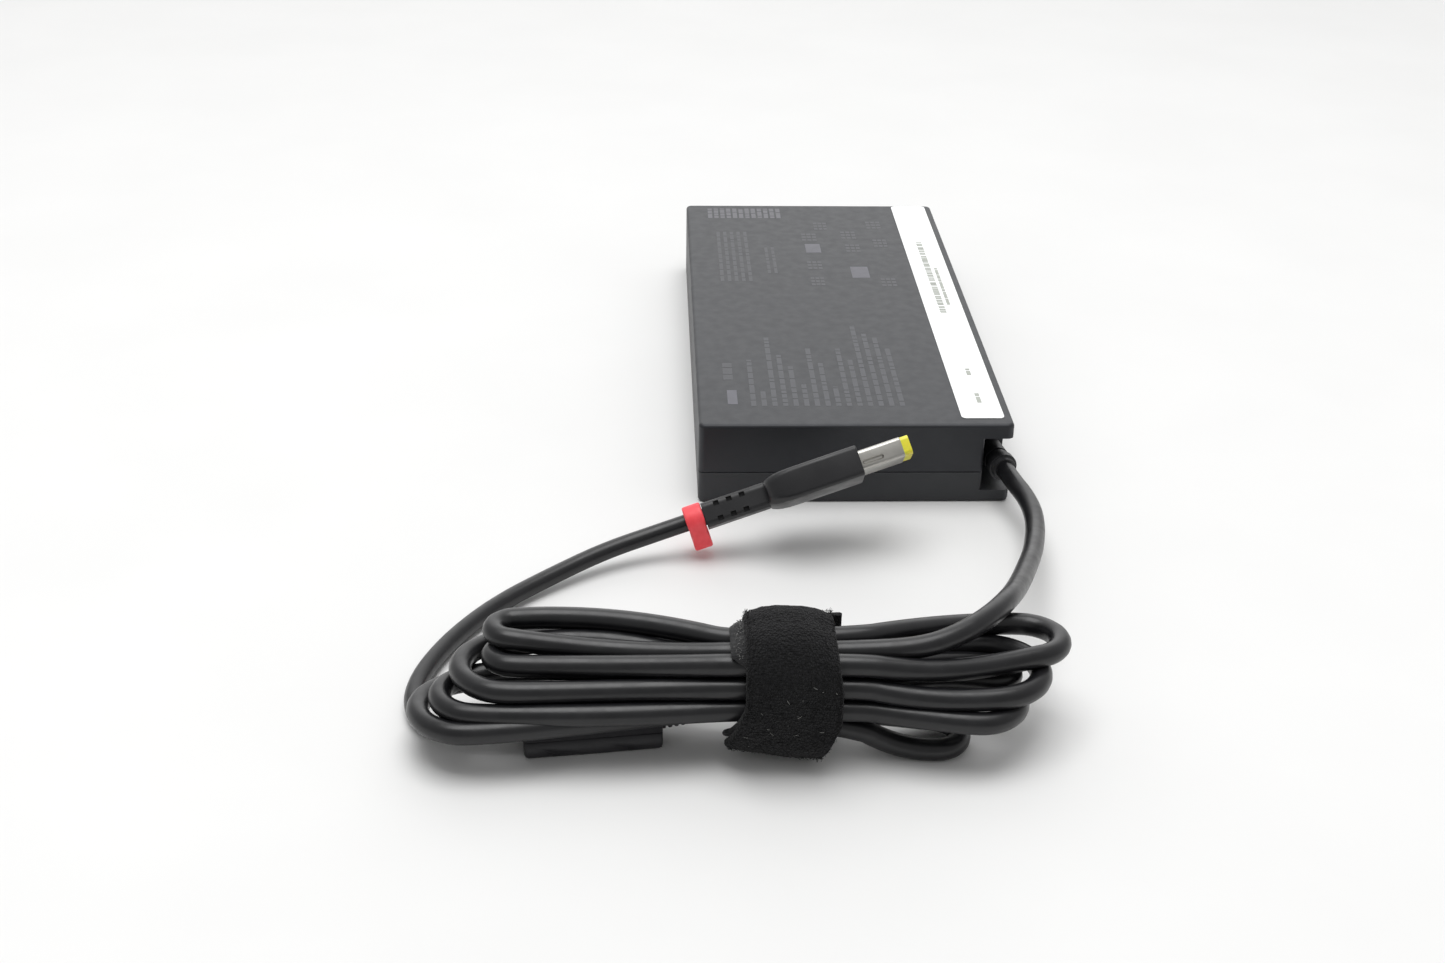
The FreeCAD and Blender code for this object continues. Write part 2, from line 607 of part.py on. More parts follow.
neck_radius = size("neck_diameter") / 2
case_relief = turned("case_relief_body", [
    (0, -1.8), (neck_radius, -1.8), (neck_radius, 3.0), (3.2, 3.0), (3.1, 10.5), (2.75, 10.5), (2.75, 11.3),
    (3.05, 11.3), (3.0, 13.2), (3.45, 13.2), (3.45, 15.0), (3.0, 15.0), (2.75, relief_reach), (0, relief_reach)])
relief_start = relief_end - relief_direction * relief_reach
relief_place = Placement(relief_start, Rotation(Vector(0, 0, 1), relief_direction))
case_relief.Placement = relief_place
plate = doc.addObject("Part::Box", "relief_plate")
plate.Length, plate.Width, plate.Height = 4.4, 8.6, 1.2
plate.Placement = relief_place.multiply(Placement(Vector(-2.4, -4.3, -1.8), Rotation()))
keep(fuse("case_strain_relief", case_relief, plate), "case_strain_relief")

# Two leads run from the board to the strain relief inside the case.
lead_end = relief_start - relief_direction * 1.85
for label, side in (("output_lead_positive", 1.3), ("output_lead_negative", -1.3)):
    start = lead_end + Vector(-relief_direction.y, relief_direction.x, 0) * side
    tube(label, 1.8, [tuple(start), tuple(start - relief_direction * 5), (22 + side, -53 + side, 10.4 + side),
                      (16 + side, -49 + side, board_top + 3), (13 + side, -48 + side, board_top + 0.95)])

# ---- connector -------------------------------------------------------------------------------

plug_roll = 38.2
side_direction = Vector(plug_direction.y, -plug_direction.x, 0).normalize()
level_rotation = Rotation(plug_direction, side_direction, plug_direction.cross(side_direction), "XYZ")
plug_place = Placement(plug_start, level_rotation.multiply(Rotation(Vector(1, 0, 0), -plug_roll)))


def plug_box(name, start, length, width, thickness):
    """A box about the connector's axis: its length along the axis, its width across the flat."""
    item = doc.addObject("Part::Box", name)
    for prop, formula in (("Length", length), ("Width", width), ("Height", thickness)):
        bind(item, prop, formula)
    doc.recompute()
    offset = Vector(start, -item.Width.Value / 2, -item.Height.Value / 2)
    item.Placement = plug_place.multiply(Placement(offset, Rotation()))
    return item


def plug_edge(edge):
    return along(edge, plug_direction)


grip_start = size("relief_length")
shell_start = grip_start + size("grip_length")
grip_block = rounded("grip_rounded", plug_box("grip_block", grip_start, "grip_length", "grip_width",
                                              "grip_thickness"), 1.2, plug_edge)
grip_socket = plug_box("grip_socket", shell_start - 3, "3.1", "shell_width + 0.04", "shell_thickness + 0.04")
keep(cut("plug_grip", grip_block, grip_socket), "plug_grip")

relief_bar = plug_box("relief_bar", 0, "relief_length", "6.4", "5.9")
relief_slots = []
for number in range(3):
    for side in (-1, 1):
        for row in (-1, 1):
            slot = plug_box(f"relief_slot_{number}_{side}_{row}", 2.8 + number * 3.1, "1.3", "2.4", "1.1")
            slot.Placement.Base += plug_place.Rotation.multVec(Vector(0, side * 3.2, row * 1.8))
            relief_slots.append(slot)
relief_bar_round = rounded("relief_bar_round", relief_bar, 1.4, plug_edge)
keep(cut("plug_strain_relief", relief_bar_round, fuse("relief_slot_set", *relief_slots)), "plug_strain_relief")

shell_block = rounded("shell_outside", plug_box("shell_block", shell_start - 3, "shell_length + 3", "shell_width",
                                                "shell_thickness"), 1.0, plug_edge)
shell_inside = plug_box("shell_inside", shell_start - 1.5, "shell_length + 2", "shell_width - 2 * shell_skin",
                        "shell_thickness - 2 * shell_skin")
keep(cut("plug_shell", shell_block, shell_inside), "plug_shell")
tip_start = shell_start + size("shell_length")
tip_block = rounded("tip_round", plug_box("tip_block", tip_start, "tip_length", "shell_width - 0.3",
                                          "shell_thickness - 0.3"), 1.0, plug_edge)
tip_bore = cylinder("tip_bore", "1.5", "6", plug_start + plug_direction * (tip_start - 1), plug_direction)
keep(cut("plug_tip", tip_block, tip_bore), "plug_tip")
keep(cylinder("plug_centre_pin", "centre_pin_diameter / 2", "10.6",
              plug_start + plug_direction * (shell_start - 1.5), plug_direction), "plug_centre_pin")

# ---- marker band -----------------------------------------------------------------------------

# A flat loop that hangs on the cord beside the connector's strain relief. Its upper end is round
# the cord's own axis, so it can swing about the cord.
band_inner = size("branch_diameter") / 2 + size("band_clearance")
band_outer = band_inner + size("band_thickness")
band_back = plug_start - plug_direction * (0.1 + size("band_width"))
band_down = (Vector(0, 0, -1) + plug_direction * plug_direction.z).normalize()


def oblong_bar(radius, start, length):
    """A bar whose section is an oblong hanging from the cord's axis."""
    lower = start + band_down * size("band_drop")
    across = plug_direction.cross(band_down).normalize() * radius
    outline = [Part.Arc(start + across, start - band_down * radius, start - across).toShape(),
               Part.LineSegment(start - across, lower - across).toShape(),
               Part.Arc(lower - across, lower + band_down * radius, lower + across).toShape(),
               Part.LineSegment(lower + across, start + across).toShape()]
    return Part.Face(Part.Wire(outline)).extrude(plug_direction * length)


band = doc.addObject("Part::Feature", "marker_band")
band.Shape = oblong_bar(band_outer, band_back, size("band_width")).cut(
    oblong_bar(band_inner, band_back - plug_direction, size("band_width") + 2))
band.Placement = Placement()
keep(band, "marker_band")

# ---- checks and files ------------------------------------------------------------------------

doc.recompute()
for item in doc.Objects:
    if {"Invalid", "Error"} & set(item.State):
        raise RuntimeError(f"{item.Label} failed: {item.State}")
for item in parts:
    if item.Shape.isNull() or not item.Shape.isValid() or not item.Shape.Solids:
        raise RuntimeError(f"{item.Label} has no valid solid")

os.makedirs("parts", exist_ok=True)
for item in parts:
    item.Shape.exportStep(f"parts/{item.Label}.step")
print(f"{len(parts)} parts written")
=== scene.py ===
import json
import math
import random

import bmesh
import bpy
from mathutils import Matrix, Vector, noise


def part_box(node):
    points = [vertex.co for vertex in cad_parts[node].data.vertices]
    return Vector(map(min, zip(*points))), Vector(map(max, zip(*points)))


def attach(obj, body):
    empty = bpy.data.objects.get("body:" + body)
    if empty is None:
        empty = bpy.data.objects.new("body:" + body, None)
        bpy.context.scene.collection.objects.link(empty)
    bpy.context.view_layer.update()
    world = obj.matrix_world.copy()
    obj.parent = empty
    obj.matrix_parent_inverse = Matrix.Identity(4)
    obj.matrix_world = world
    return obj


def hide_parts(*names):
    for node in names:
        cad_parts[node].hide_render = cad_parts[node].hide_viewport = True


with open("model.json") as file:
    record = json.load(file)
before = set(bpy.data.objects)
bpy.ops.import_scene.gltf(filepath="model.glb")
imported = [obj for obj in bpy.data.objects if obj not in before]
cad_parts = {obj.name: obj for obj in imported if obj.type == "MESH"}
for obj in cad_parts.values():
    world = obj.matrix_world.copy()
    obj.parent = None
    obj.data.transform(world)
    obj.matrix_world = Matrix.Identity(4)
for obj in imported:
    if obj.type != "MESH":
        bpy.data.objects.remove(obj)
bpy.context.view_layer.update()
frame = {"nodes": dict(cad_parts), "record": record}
MM = 0.001

# A slim laptop power adapter on a table: +X to the right, +Y from the cord end to the mains
# inlet, +Z up. Places are written in millimetres and turned into metres by mm().


def mm(x, y, z):
    return Vector((x, y, z)) * MM


def ramp(value, first, last):
    """0 up to one value, 1 from another, and straight between them."""
    return min(1.0, max(0.0, (value - first) / (last - first)))


# ---- camera ----------------------------------------------------------------------------------

CAMERA_PLACE = (-50.1, -469.5, 218.1)
CAMERA_TURN = math.radians(2.62)
CAMERA_PITCH = math.radians(28.35)
CAMERA_ROLL = math.radians(1.1)
CAMERA_LENS = 46.0
SENSOR_WIDTH = 36.0


def make_camera():
    forward = Vector((math.sin(CAMERA_TURN) * math.cos(CAMERA_PITCH),
                      math.cos(CAMERA_TURN) * math.cos(CAMERA_PITCH), -math.sin(CAMERA_PITCH)))
    level = Vector((math.cos(CAMERA_TURN), -math.sin(CAMERA_TURN), 0))
    upward = level.cross(forward)
    right = level * math.cos(CAMERA_ROLL) + upward * math.sin(CAMERA_ROLL)
    above = upward * math.cos(CAMERA_ROLL) - level * math.sin(CAMERA_ROLL)
    data = bpy.data.cameras.new("camera")
    data.lens, data.sensor_width, data.clip_start = CAMERA_LENS, SENSOR_WIDTH, 0.01
    camera = bpy.data.objects.new("camera", data)
    turn = Matrix((right, above, -forward)).transposed().to_4x4()
    camera.matrix_world = Matrix.Translation(mm(*CAMERA_PLACE)) @ turn
    bpy.context.scene.collection.objects.link(camera)
    bpy.context.scene.camera = camera


make_camera()

# ---- cords -----------------------------------------------------------------------------------

CORD_DIAMETER = 4.5
BRANCH_DIAMETER = 4.0
RELIEF_END = (36.3, -77.2, 9.3)

# The cord leaves the corner of the case, rises over the hank's top loop and dives into it.
ADAPTER_RUN = [
    RELIEF_END, (37.4, -83.8, 9.25), (38.9, -90.4, 9.2), (39.3, -97.4, 9.25), (38.6, -104.6, 9.6),
    (36.9, -112.6, 10.6), (34.6, -121.4, 12.2), (31.5, -131.0, 14.5), (28.2, -140.8, 17.1),
    (24.9, -150.0, 19.9), (21.6, -158.2, 22.8),
]
DIVE = [(17.2, -165.4, 23.9), (10.5, -171.3, 23.4), (2.6, -174.6, 22.4)]

# Where each pass of the hank enters and leaves the strap: (along Y, up) at its left and right.
STRAP_LEFT, STRAP_RIGHT = -34.0, -9.0
PASSES = {
    1: ((-170.3, 21.3), (-169.6, 21.7)),
    2: ((-174.0, 21.0), (-174.0, 21.2)),
    3: ((-178.6, 21.4), (-178.5, 21.2)),
    4: ((-179.6, 16.8), (-179.5, 16.7)),
    5: ((-180.2, 12.3), (-180.1, 12.0)),
    6: ((-175.6, 9.7), (-178.8, 6.6)),
    7: ((-174.6, 16.8), (-170.2, 17.4)),
    8: ((-170.0, 17.2), (-174.8, 16.8)),
    9: ((-175.4, 12.9), (-175.4, 12.3)),
    10: ((-170.8, 12.6), (-170.8, 12.8)),
    11: ((-171.0, 6.2), (-174.2, 7.2)),
}
# The hank's loops in the order the cord runs. Each has the X that its end reaches, and (along Y,
# up) at four stations: half-way out, where its end begins, where its end finishes, half-way back.
LOOPS = [
    dict(enter=2, leave=1, reach=-80.4, out=(-170.1, 19.0), begin=(-168.6, 20.9),
         finish=(-160.2, 20.4), back=(-162.2, 20.9)),
    dict(enter=1, leave=3, reach=31.5, out=(-162.0, 19.0), begin=(-157.4, 16.8),
         finish=(-172.2, 18.4), back=(-177.0, 18.8)),
    dict(enter=3, leave=7, reach=-80.5, out=(-175.0, 18.8), begin=(-173.4, 18.0),
         finish=(-164.0, 16.8), back=(-165.4, 17.9)),
    dict(enter=7, leave=4, reach=26.9, out=(-164.4, 15.6), begin=(-160.8, 14.0),
         finish=(-181.0, 14.9), back=(-181.3, 15.2)),
    dict(enter=4, leave=8, reach=-86.9, out=(-178.6, 15.7), begin=(-179.5, 15.9),
         finish=(-158.6, 14.4), back=(-158.6, 14.3)),
    dict(enter=8, leave=9, reach=21.4, out=(-168.0, 14.4), begin=(-165.2, 12.2),
         finish=(-173.4, 13.4), back=(-172.4, 13.7)),
    dict(enter=9, leave=5, reach=-90.6, out=(-167.0, 12.6), begin=(-165.6, 10.9),
         finish=(-181.2, 12.1), back=(-182.0, 12.5)),
    dict(enter=5, leave=10, reach=21.9, out=(-182.6, 11.8), begin=(-184.0, 11.1),
         finish=(-166.6, 10.2), back=(-168.6, 10.9)),
    dict(enter=10, leave=6, reach=-95.1, out=(-162.6, 10.6), begin=(-161.8, 7.0),
         finish=(-184.0, 9.6), back=(-180.8, 10.3)),
    dict(enter=6, leave=11, reach=11.0, out=(-179.0, 2.8), begin=(-180.0, 2.3),
         finish=(-170.4, 2.6), back=(-171.4, 4.4)),
]
STRAND_STATIONS = (0.18, 0.4, 0.62, 0.84)
END_POINTS = 8
END_LENGTH = 1.05


def pass_point(number, x):
    """A point of one pass, at the strap's left or right edge."""
    left, right = PASSES[number]
    return (x, *(left if x == STRAP_LEFT else right))


def bowed(tied, middle, free, t):
    """A place on the smooth curve from the strap's edge, through a strand's middle, to the loop's end."""
    shares = ((1 - t) * (1 - 2 * t), 4 * t * (1 - t), t * (2 * t - 1))
    return tuple(sum(share * point[n] for share, point in zip(shares, (tied, middle, free)))
                 for n in range(3))


def loop_points(enter, leave, reach, out, begin, finish, back):
    """One loop of the hank, from the strap's edge round its end and back."""
    side = 1 if reach > STRAP_RIGHT else -1
    edge = STRAP_RIGHT if side > 0 else STRAP_LEFT
    half = abs(finish[0] - begin[0]) / 2 * END_LENGTH
    centre = reach - side * half
    turn = []
    for n in range(END_POINTS):
        angle = math.pi * (n + 0.5) / END_POINTS
        share = (1 - math.cos(angle)) / 2
        y, z = (first + (last - first) * share for first, last in zip(begin, finish))
        turn.append((centre + side * half * math.sin(angle), y, z))
    ends = ((pass_point(enter, edge), out, begin), (pass_point(leave, edge), back, finish))
    strands = []
    for tied, middle, free in ends:
        stations = (tied, ((edge + centre) / 2, *middle), (centre, *free))
        strands.append([bowed(*stations, t) for t in STRAND_STATIONS])
    return strands[0] + turn + strands[1][::-1]


def hank_points():
    """The whole hank: ten loops, left and right in turn, between eleven passes through the strap."""
    points = DIVE + [pass_point(2, x) for x in (STRAP_RIGHT, STRAP_LEFT)]
    for number, loop in enumerate(LOOPS):
        points += loop_points(**loop)
        edges = (STRAP_LEFT, STRAP_RIGHT) if number % 2 == 0 else (STRAP_RIGHT, STRAP_LEFT)
        points += [pass_point(loop["leave"], x) for x in edges]
    return points


BEAD_ANGLE = math.radians(6.8)
BEAD_DIRECTION = Vector((math.cos(BEAD_ANGLE), math.sin(BEAD_ANGLE), 0))
BEAD_MIDDLE = Vector((-61.4, -172.0, 5.0))
BEAD_HALF = 20.0
BEAD_LEFT = tuple(BEAD_MIDDLE - BEAD_DIRECTION * BEAD_HALF)
BEAD_RIGHT = tuple(BEAD_MIDDLE + BEAD_DIRECTION * BEAD_HALF)

PLUG_START = Vector((-37.2, -101, 9.9))
PLUG_DIRECTION = Vector((0.947, 0.133, 0.292)).normalized()
PLUG_RUN = [
    BEAD_LEFT, (-85.9, -174.9, 4.6), (-91.6, -173.8, 3.1), (-96.2, -168.0, 2.35), (-97.8, -159.6, 2.2),
    (-95.8, -149.4, 2.15), (-90.6, -137.4, 2.2), (-82.6, -125.6, 2.35), (-71.8, -115.6, 3.0),
    (-60.2, -107.4, 4.6), tuple(PLUG_START - PLUG_DIRECTION * 11.5), tuple(PLUG_START),
]


def make_cord(name, points, diameter):
    """A round cord on one smooth spline. Its bevel is in millimetres, which each point's radius scales."""
    data = bpy.data.curves.new(name, "CURVE")
    data.dimensions, data.bevel_depth, data.bevel_resolution = "3D", diameter / 2, 6
    data.resolution_u, data.use_fill_caps = 8, True
    spline = data.splines.new("NURBS")
    spline.points.add(len(points) - 1)
    for point, place in zip(spline.points, points):
        point.co, point.radius = (*mm(*place), 1), MM
    spline.order_u = 3
    spline.use_endpoint_u = True
    piece = bpy.data.objects.new(name, data)
    bpy.context.scene.collection.objects.link(piece)
    return piece


cord_a = make_cord("adapter_cord", ADAPTER_RUN + hank_points() + [BEAD_RIGHT], CORD_DIAMETER)
cord_b = make_cord("plug_cord", PLUG_RUN, BRANCH_DIAMETER)
for cord in (cord_a, cord_b):
    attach(cord, "root")
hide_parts("cord_adapter_run", "cord_hank", "cord_bead_lead")
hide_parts("cord_plug_run")

# ---- mesh helpers ----------------------------------------------------------------------------

CORNER_STEPS = 6
TURN_STEPS = 40


def add_mesh(name, vertices, faces, sharp=math.radians(35)):
    """A smooth-shaded mesh from places in millimetres, with its sharp edges kept."""
    data = bpy.data.meshes.new(name)
    data.from_pydata([Vector(place) * MM for place in vertices], [], faces)
    tidy = bmesh.new()
    tidy.from_mesh(data)
    bmesh.ops.recalc_face_normals(tidy, faces=tidy.faces)
    tidy.to_mesh(data)
    tidy.free()
    data.shade_smooth()
    data.set_sharp_from_angle(angle=sharp)
    piece = bpy.data.objects.new(name, data)
    bpy.context.scene.collection.objects.link(piece)
    return piece


def skin(rings, looped=False):
    """Faces between rings of equally many points: capped at both ends, or joined in a loop."""
    count = len(rings[0])
    pairs = len(rings) if looped else len(rings) - 1
    faces = []
    for row in range(pairs):
        here, there = row * count, (row + 1) % len(rings) * count
        for n in range(count):
            following = (n + 1) % count
            faces.append((here + n, here + following, there + following, there + n))
    if not looped:
        faces.append(tuple(range(count)))
        faces.append(tuple(range((len(rings) - 1) * count, len(rings) * count)))
    return [place for ring in rings for place in ring], faces


def rounded_outline(width, height, radius):
    """A rectangle with round corners about the origin, as (across, up) pairs."""
    outline = []
    for quarter, (x, y) in enumerate(((1, 1), (-1, 1), (-1, -1), (1, -1))):
        for n in range(CORNER_STEPS + 1):
            angle = math.pi / 2 * (quarter + n / CORNER_STEPS)
            outline.append((x * (width / 2 - radius) + radius * math.cos(angle),
                            y * (height / 2 - radius) + radius * math.sin(angle)))
    return outline


def loft(name, frame_at, stations):
    """A solid through rounded rectangles: each station is (distance, width, height, radius)."""
    rings = [[frame_at(along, across, up) for across, up in rounded_outline(width, height, radius)]
             for along, width, height, radius in stations]
    return add_mesh(name, *skin(rings))


def turned(name, frame_at, profile):
    """A solid turned about its axis from (distance, radius) pairs."""
    angles = [math.tau * n / TURN_STEPS for n in range(TURN_STEPS)]
    rings = [[frame_at(along, radius * math.cos(angle), radius * math.sin(angle)) for angle in angles]
             for along, radius in profile]
    return add_mesh(name, *skin(rings))


def carve(piece, *cutters):
    """Cuts closed shapes out of a piece and removes them."""
    for cutter in cutters:
        modifier = piece.modifiers.new("carve", "BOOLEAN")
        modifier.object, modifier.operation, modifier.solver = cutter, "DIFFERENCE", "EXACT"
    evaluated = piece.evaluated_get(bpy.context.evaluated_depsgraph_get())
    carved = bpy.data.meshes.new_from_object(evaluated)
    piece.modifiers.clear()
    piece.data = carved
    for cutter in cutters:
        bpy.data.objects.remove(cutter)
    return piece


def axis_frame(start, axis, roll=0.0):
    """Turns (distance along an axis, across, up) into places. Across is level, then rolled."""
    axis = Vector(axis).normalized()
    across = Vector((axis.y, -axis.x, 0)).normalized()
    lower = axis.cross(across)
    turn = Matrix.Rotation(-roll, 3, axis)
    across, lower = turn @ across, turn @ lower
    return lambda along, side, down: Vector(start) + axis * along + across * side + lower * down


def settle(piece, body, slot, material, *nodes):
    """Rides a piece on its body, gives it its finish and hides what it stands for. Its slot is not used."""
    piece.data.materials.clear()
    piece.data.materials.append(material)
    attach(piece, body)
    if nodes:
        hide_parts(*nodes)
    return piece


# ---- materials -------------------------------------------------------------------------------


class Finish:
    """A material being made: its shader, and short calls for the nodes that feed it."""

    def __init__(self, name, roughness, metallic=0.0, **sockets):
        self.material = bpy.data.materials.new(name)
        self.material.use_nodes = True
        self.tree = self.material.node_tree
        self.shader = self.tree.nodes["Principled BSDF"]
        self.shader.inputs["Roughness"].default_value = roughness
        self.shader.inputs["Metallic"].default_value = metallic
        for words, value in sockets.items():
            self.shader.inputs[words.replace("_", " ")].default_value = value
        self.place = self.node("ShaderNodeTexCoord").outputs["Object"]
        self.height = None

    def node(self, kind, settings=(), **inputs):
        made = self.tree.nodes.new(kind)
        for name, value in dict(settings).items():
            setattr(made, name, value)
        for words, value in inputs.items():
            self.feed(made.inputs[words.replace("_", " ")], value)
        return made

    def feed(self, socket, value):
        if isinstance(value, bpy.types.NodeSocket):
            self.tree.links.new(value, socket)
        else:
            socket.default_value = value

    def stretched(self, stretch):
        return self.node("ShaderNodeMapping", Vector=self.place, Scale=stretch).outputs["Vector"]

    def noise(self, grain, detail=3.0, stretch=(1, 1, 1)):
        """Soft noise with features about grain millimetres across."""
        made = self.node("ShaderNodeTexNoise", Vector=self.stretched(stretch), Scale=1 / (grain * MM),
                         Detail=detail)
        return made.outputs["Fac"]

    def cells(self, grain, stretch=(1, 1, 1)):
        """Distance from the middles of cells about grain millimetres across."""
        made = self.node("ShaderNodeTexVoronoi", Vector=self.stretched(stretch), Scale=1 / (grain * MM))
        return made.outputs["Distance"]

    def ribs(self, pitch, stretch, distortion):
        """Parallel ribs, spaced by pitch millimetres along the stretched axes."""
        made = self.node("ShaderNodeTexWave", {"bands_direction": "DIAGONAL"}, Vector=self.stretched(stretch),
                         Scale=math.tau / 10 / (pitch * MM), Distortion=distortion, Detail=2.0)
        return made.outputs["Fac"]

    def levels(self, source, low, high, first=0.35, last=0.65):
        """Maps a source onto a range of values."""
        made = self.node("ShaderNodeMapRange", {"clamp": True}, Value=source)
        for socket, value in zip(("From Min", "From Max", "To Min", "To Max"), (first, last, low, high)):
            made.inputs[socket].default_value = value
        return made.outputs["Result"]

    def mixed(self, share, first, second):
        """A colour between two, by a share. Each is a socket or three numbers."""
        made = self.node("ShaderNodeMix", {"data_type": "RGBA"})
        self.feed(made.inputs["Factor"], share)
        for socket, value in ((made.inputs[6], first), (made.inputs[7], second)):
            self.feed(socket, value if isinstance(value, bpy.types.NodeSocket) else (*value, 1.0))
        return made.outputs[2]

    def colour(self, value):
        self.feed(self.shader.inputs["Base Color"], value)
        return self

    def gloss(self, source, low, high):
        self.feed(self.shader.inputs["Roughness"], self.levels(source, low, high))
        return self

    def bump(self, source, depth, strength=1.0):
        """Relief depth in millimetres, added over what is there."""
        made = self.node("ShaderNodeBump", Height=source, Distance=depth * MM, Strength=strength)
        if self.height:
            self.feed(made.inputs["Normal"], self.height)
        self.height = made.outputs["Normal"]
        self.feed(self.shader.inputs["Normal"], self.height)
        return self


def shade(colour, factor):
    return tuple(min(1.0, channel * factor) for channel in colour)


def moulded(name, colour, roughness, grain=0.35, depth=0.02, **sockets):
    """Moulded plastic: a fine spark-eroded skin, faint flow marks and uneven gloss."""
    made = Finish(name, roughness, **sockets)
    flow = made.noise(14, 4)
    made.colour(made.mixed(made.levels(flow, 0, 1), shade(colour, 0.85), shade(colour, 1.2)))
    made.gloss(made.noise(5, 5), roughness * 0.88, min(1.0, roughness * 1.15))
    made.bump(made.noise(grain, 2), depth, 0.6)
    return made.bump(made.noise(9, 2), 0.04, 0.3).material


# The parting line's height band, below which the case's colour is painted lighter as painted light bounced up
# from the table.
PARTING_LINE = (8.0 * MM, 8.3 * MM)


def case_skin():
    """The case: matt charcoal with a fine even grain, faintly rubbed patches and a little dust.

    Below the parting line the colour is a shade lighter: painted light, standing for light bounced up from
    the table onto the lower half.
    """
    made = Finish("case_plastic", 0.46, Specular_Tint=(0.93, 0.955, 1.0, 1.0))
    rubbed = made.levels(made.noise(23, 5), 0, 1, 0.36, 0.66)
    base = made.mixed(rubbed, (0.0125, 0.013, 0.0155), (0.0145, 0.0152, 0.018))
    dust = made.levels(made.cells(2.6), 0.25, 0, 0.012, 0.045)
    # Painted light: below the parting line the colour is lighter, for light bounced up from the table.
    level = made.node("ShaderNodeSeparateXYZ", Vector=made.place).outputs["Z"]
    base = made.mixed(made.levels(level, 0, 1, *PARTING_LINE), (0.021, 0.0215, 0.023), base)
    made.colour(made.mixed(dust, base, (0.16, 0.16, 0.16)))
    made.gloss(made.noise(3, 6), 0.43, 0.49)
    return made.bump(made.cells(0.32), 0.010, 0.7).material


def cord_skin():
    """The cords' satin jacket: soft pits, a drawn unevenness and a little dust."""
    made = Finish("cord_rubber", 0.34)
    base = made.mixed(made.levels(made.noise(6, 4), 0, 1), (0.0042, 0.0042, 0.0052), (0.0075, 0.0075, 0.0088))
    dust = made.levels(made.cells(1.9), 0.22, 0, 0.018, 0.05)
    made.colour(made.mixed(dust, base, (0.13, 0.13, 0.125)))
    made.gloss(made.noise(2.5, 5), 0.29, 0.39)
    made.bump(made.noise(0.5, 2), 0.010, 0.6)
    return made.bump(made.noise(5, 1), 0.03, 0.5).material


def pile_skin():
    """Brushed loop pile: tangled loops over faint knitted rows, with pale lint caught in them."""
    made = Finish("pile_fabric", 0.95, Specular_IOR_Level=0.2, Sheen_Weight=0.05, Sheen_Roughness=0.6)
    loops, rows = made.cells(0.42, (1, 0.7, 0.7)), made.ribs(0.62, (0.12, 1, 1), 9.0)
    weave = made.mixed(made.levels(loops, 0, 1, 0.1, 0.6), (0.0125, 0.0125, 0.014), (0.0012, 0.0012, 0.0015))
    woven = made.mixed(made.levels(rows, 0.3, 0, 0.2, 0.8), weave, (0.014, 0.014, 0.0155))
    lint = made.levels(made.cells(3.4, (1, 1, 0.6)), 0.5, 0, 0.02, 0.06)
    made.colour(made.mixed(lint, woven, (0.21, 0.21, 0.2)))
    made.bump(rows, 0.10, 0.5)
    made.bump(loops, 0.45, 1.0)
    return made.bump(made.noise(0.3, 4), 0.25, 1.0).material


def hook_skin():
    """The hook tape's woven back, in fine rows."""
    made = Finish("hook_fabric", 0.8, Sheen_Weight=0.1)
    rows = made.ribs(0.45, (0.3, 1, 1), 0.6)
    made.colour(made.mixed(made.levels(rows, 0, 1, 0.2, 0.8), (0.004, 0.004, 0.005), (0.011, 0.011, 0.0125)))
    made.bump(rows, 0.14, 0.8)
    return made.bump(made.noise(0.3, 3), 0.08, 0.7).material


def plated(name, colour, roughness, drawn):
    """Nickel plating over drawn or stamped metal, with fine lengthwise scratches."""
    made = Finish(name, roughness, 1.0)
    scratch = made.noise(0.25, 4, drawn)
    made.colour(made.mixed(made.levels(made.noise(2.2, 4), 0, 1), shade(colour, 0.94), colour))
    made.gloss(scratch, roughness * 0.92, roughness * 1.1)
    return made.bump(scratch, 0.003, 0.4).material


def sticker_skin():
    """Smooth white film, very slightly uneven where it was pressed down."""
    made = Finish("sticker_paper", 0.35, Coat_Weight=0.15)
    made.colour(made.mixed(made.levels(made.noise(30, 3), 0, 1), (0.86, 0.87, 0.87), (0.92, 0.93, 0.93)))
    made.gloss(made.noise(8, 4), 0.3, 0.42)
    return made.bump(made.noise(12, 3), 0.05, 0.4).material


def ink_skin(name, colour):
    """Thin printing ink, worn a little where hands rub it."""
    made = Finish(name, 0.46)
    worn = made.levels(made.noise(3, 5), 0, 1, 0.3, 0.7)
    made.colour(made.mixed(worn, shade(colour, 0.78), colour))
    return made.bump(made.noise(0.4, 2), 0.006, 0.5).material


def band_skin():
    """Soft red silicone that lets some light through."""
    made = Finish("band_rubber", 0.5, Subsurface_Weight=0.35, Subsurface_Scale=0.0015,
                  Subsurface_Radius=(1.0, 0.25, 0.2))
    made.colour(made.mixed(made.levels(made.noise(2.5, 4), 0, 1), (0.86, 0.06, 0.075), (0.95, 0.085, 0.105)))
    made.gloss(made.noise(1.2, 4), 0.42, 0.6)
    return made.bump(made.noise(0.5, 3), 0.03, 0.6).material


def board_skin():
    """Green solder mask over faint tracks."""
    made = Finish("board_laminate", 0.35)
    tracks = made.ribs(2.4, (1, 0.15, 0), 6.0)
    made.colour(made.mixed(made.levels(tracks, 0, 1, 0.45, 0.55), (0.012, 0.09, 0.035), (0.02, 0.14, 0.05)))
    return made.bump(tracks, 0.04, 0.7).material


def wound(name, colour, pitch, roughness, metallic):
    """A winding: turns of enamelled wire, or tape, side by side."""
    made = Finish(name, roughness, metallic)
    turns = made.ribs(pitch, (0.1, 1, 0.1), 0.3)
    made.colour(made.mixed(made.levels(turns, 0, 1, 0.1, 0.9), shade(colour, 0.45), colour))
    return made.bump(turns, pitch * 0.3, 0.9).material


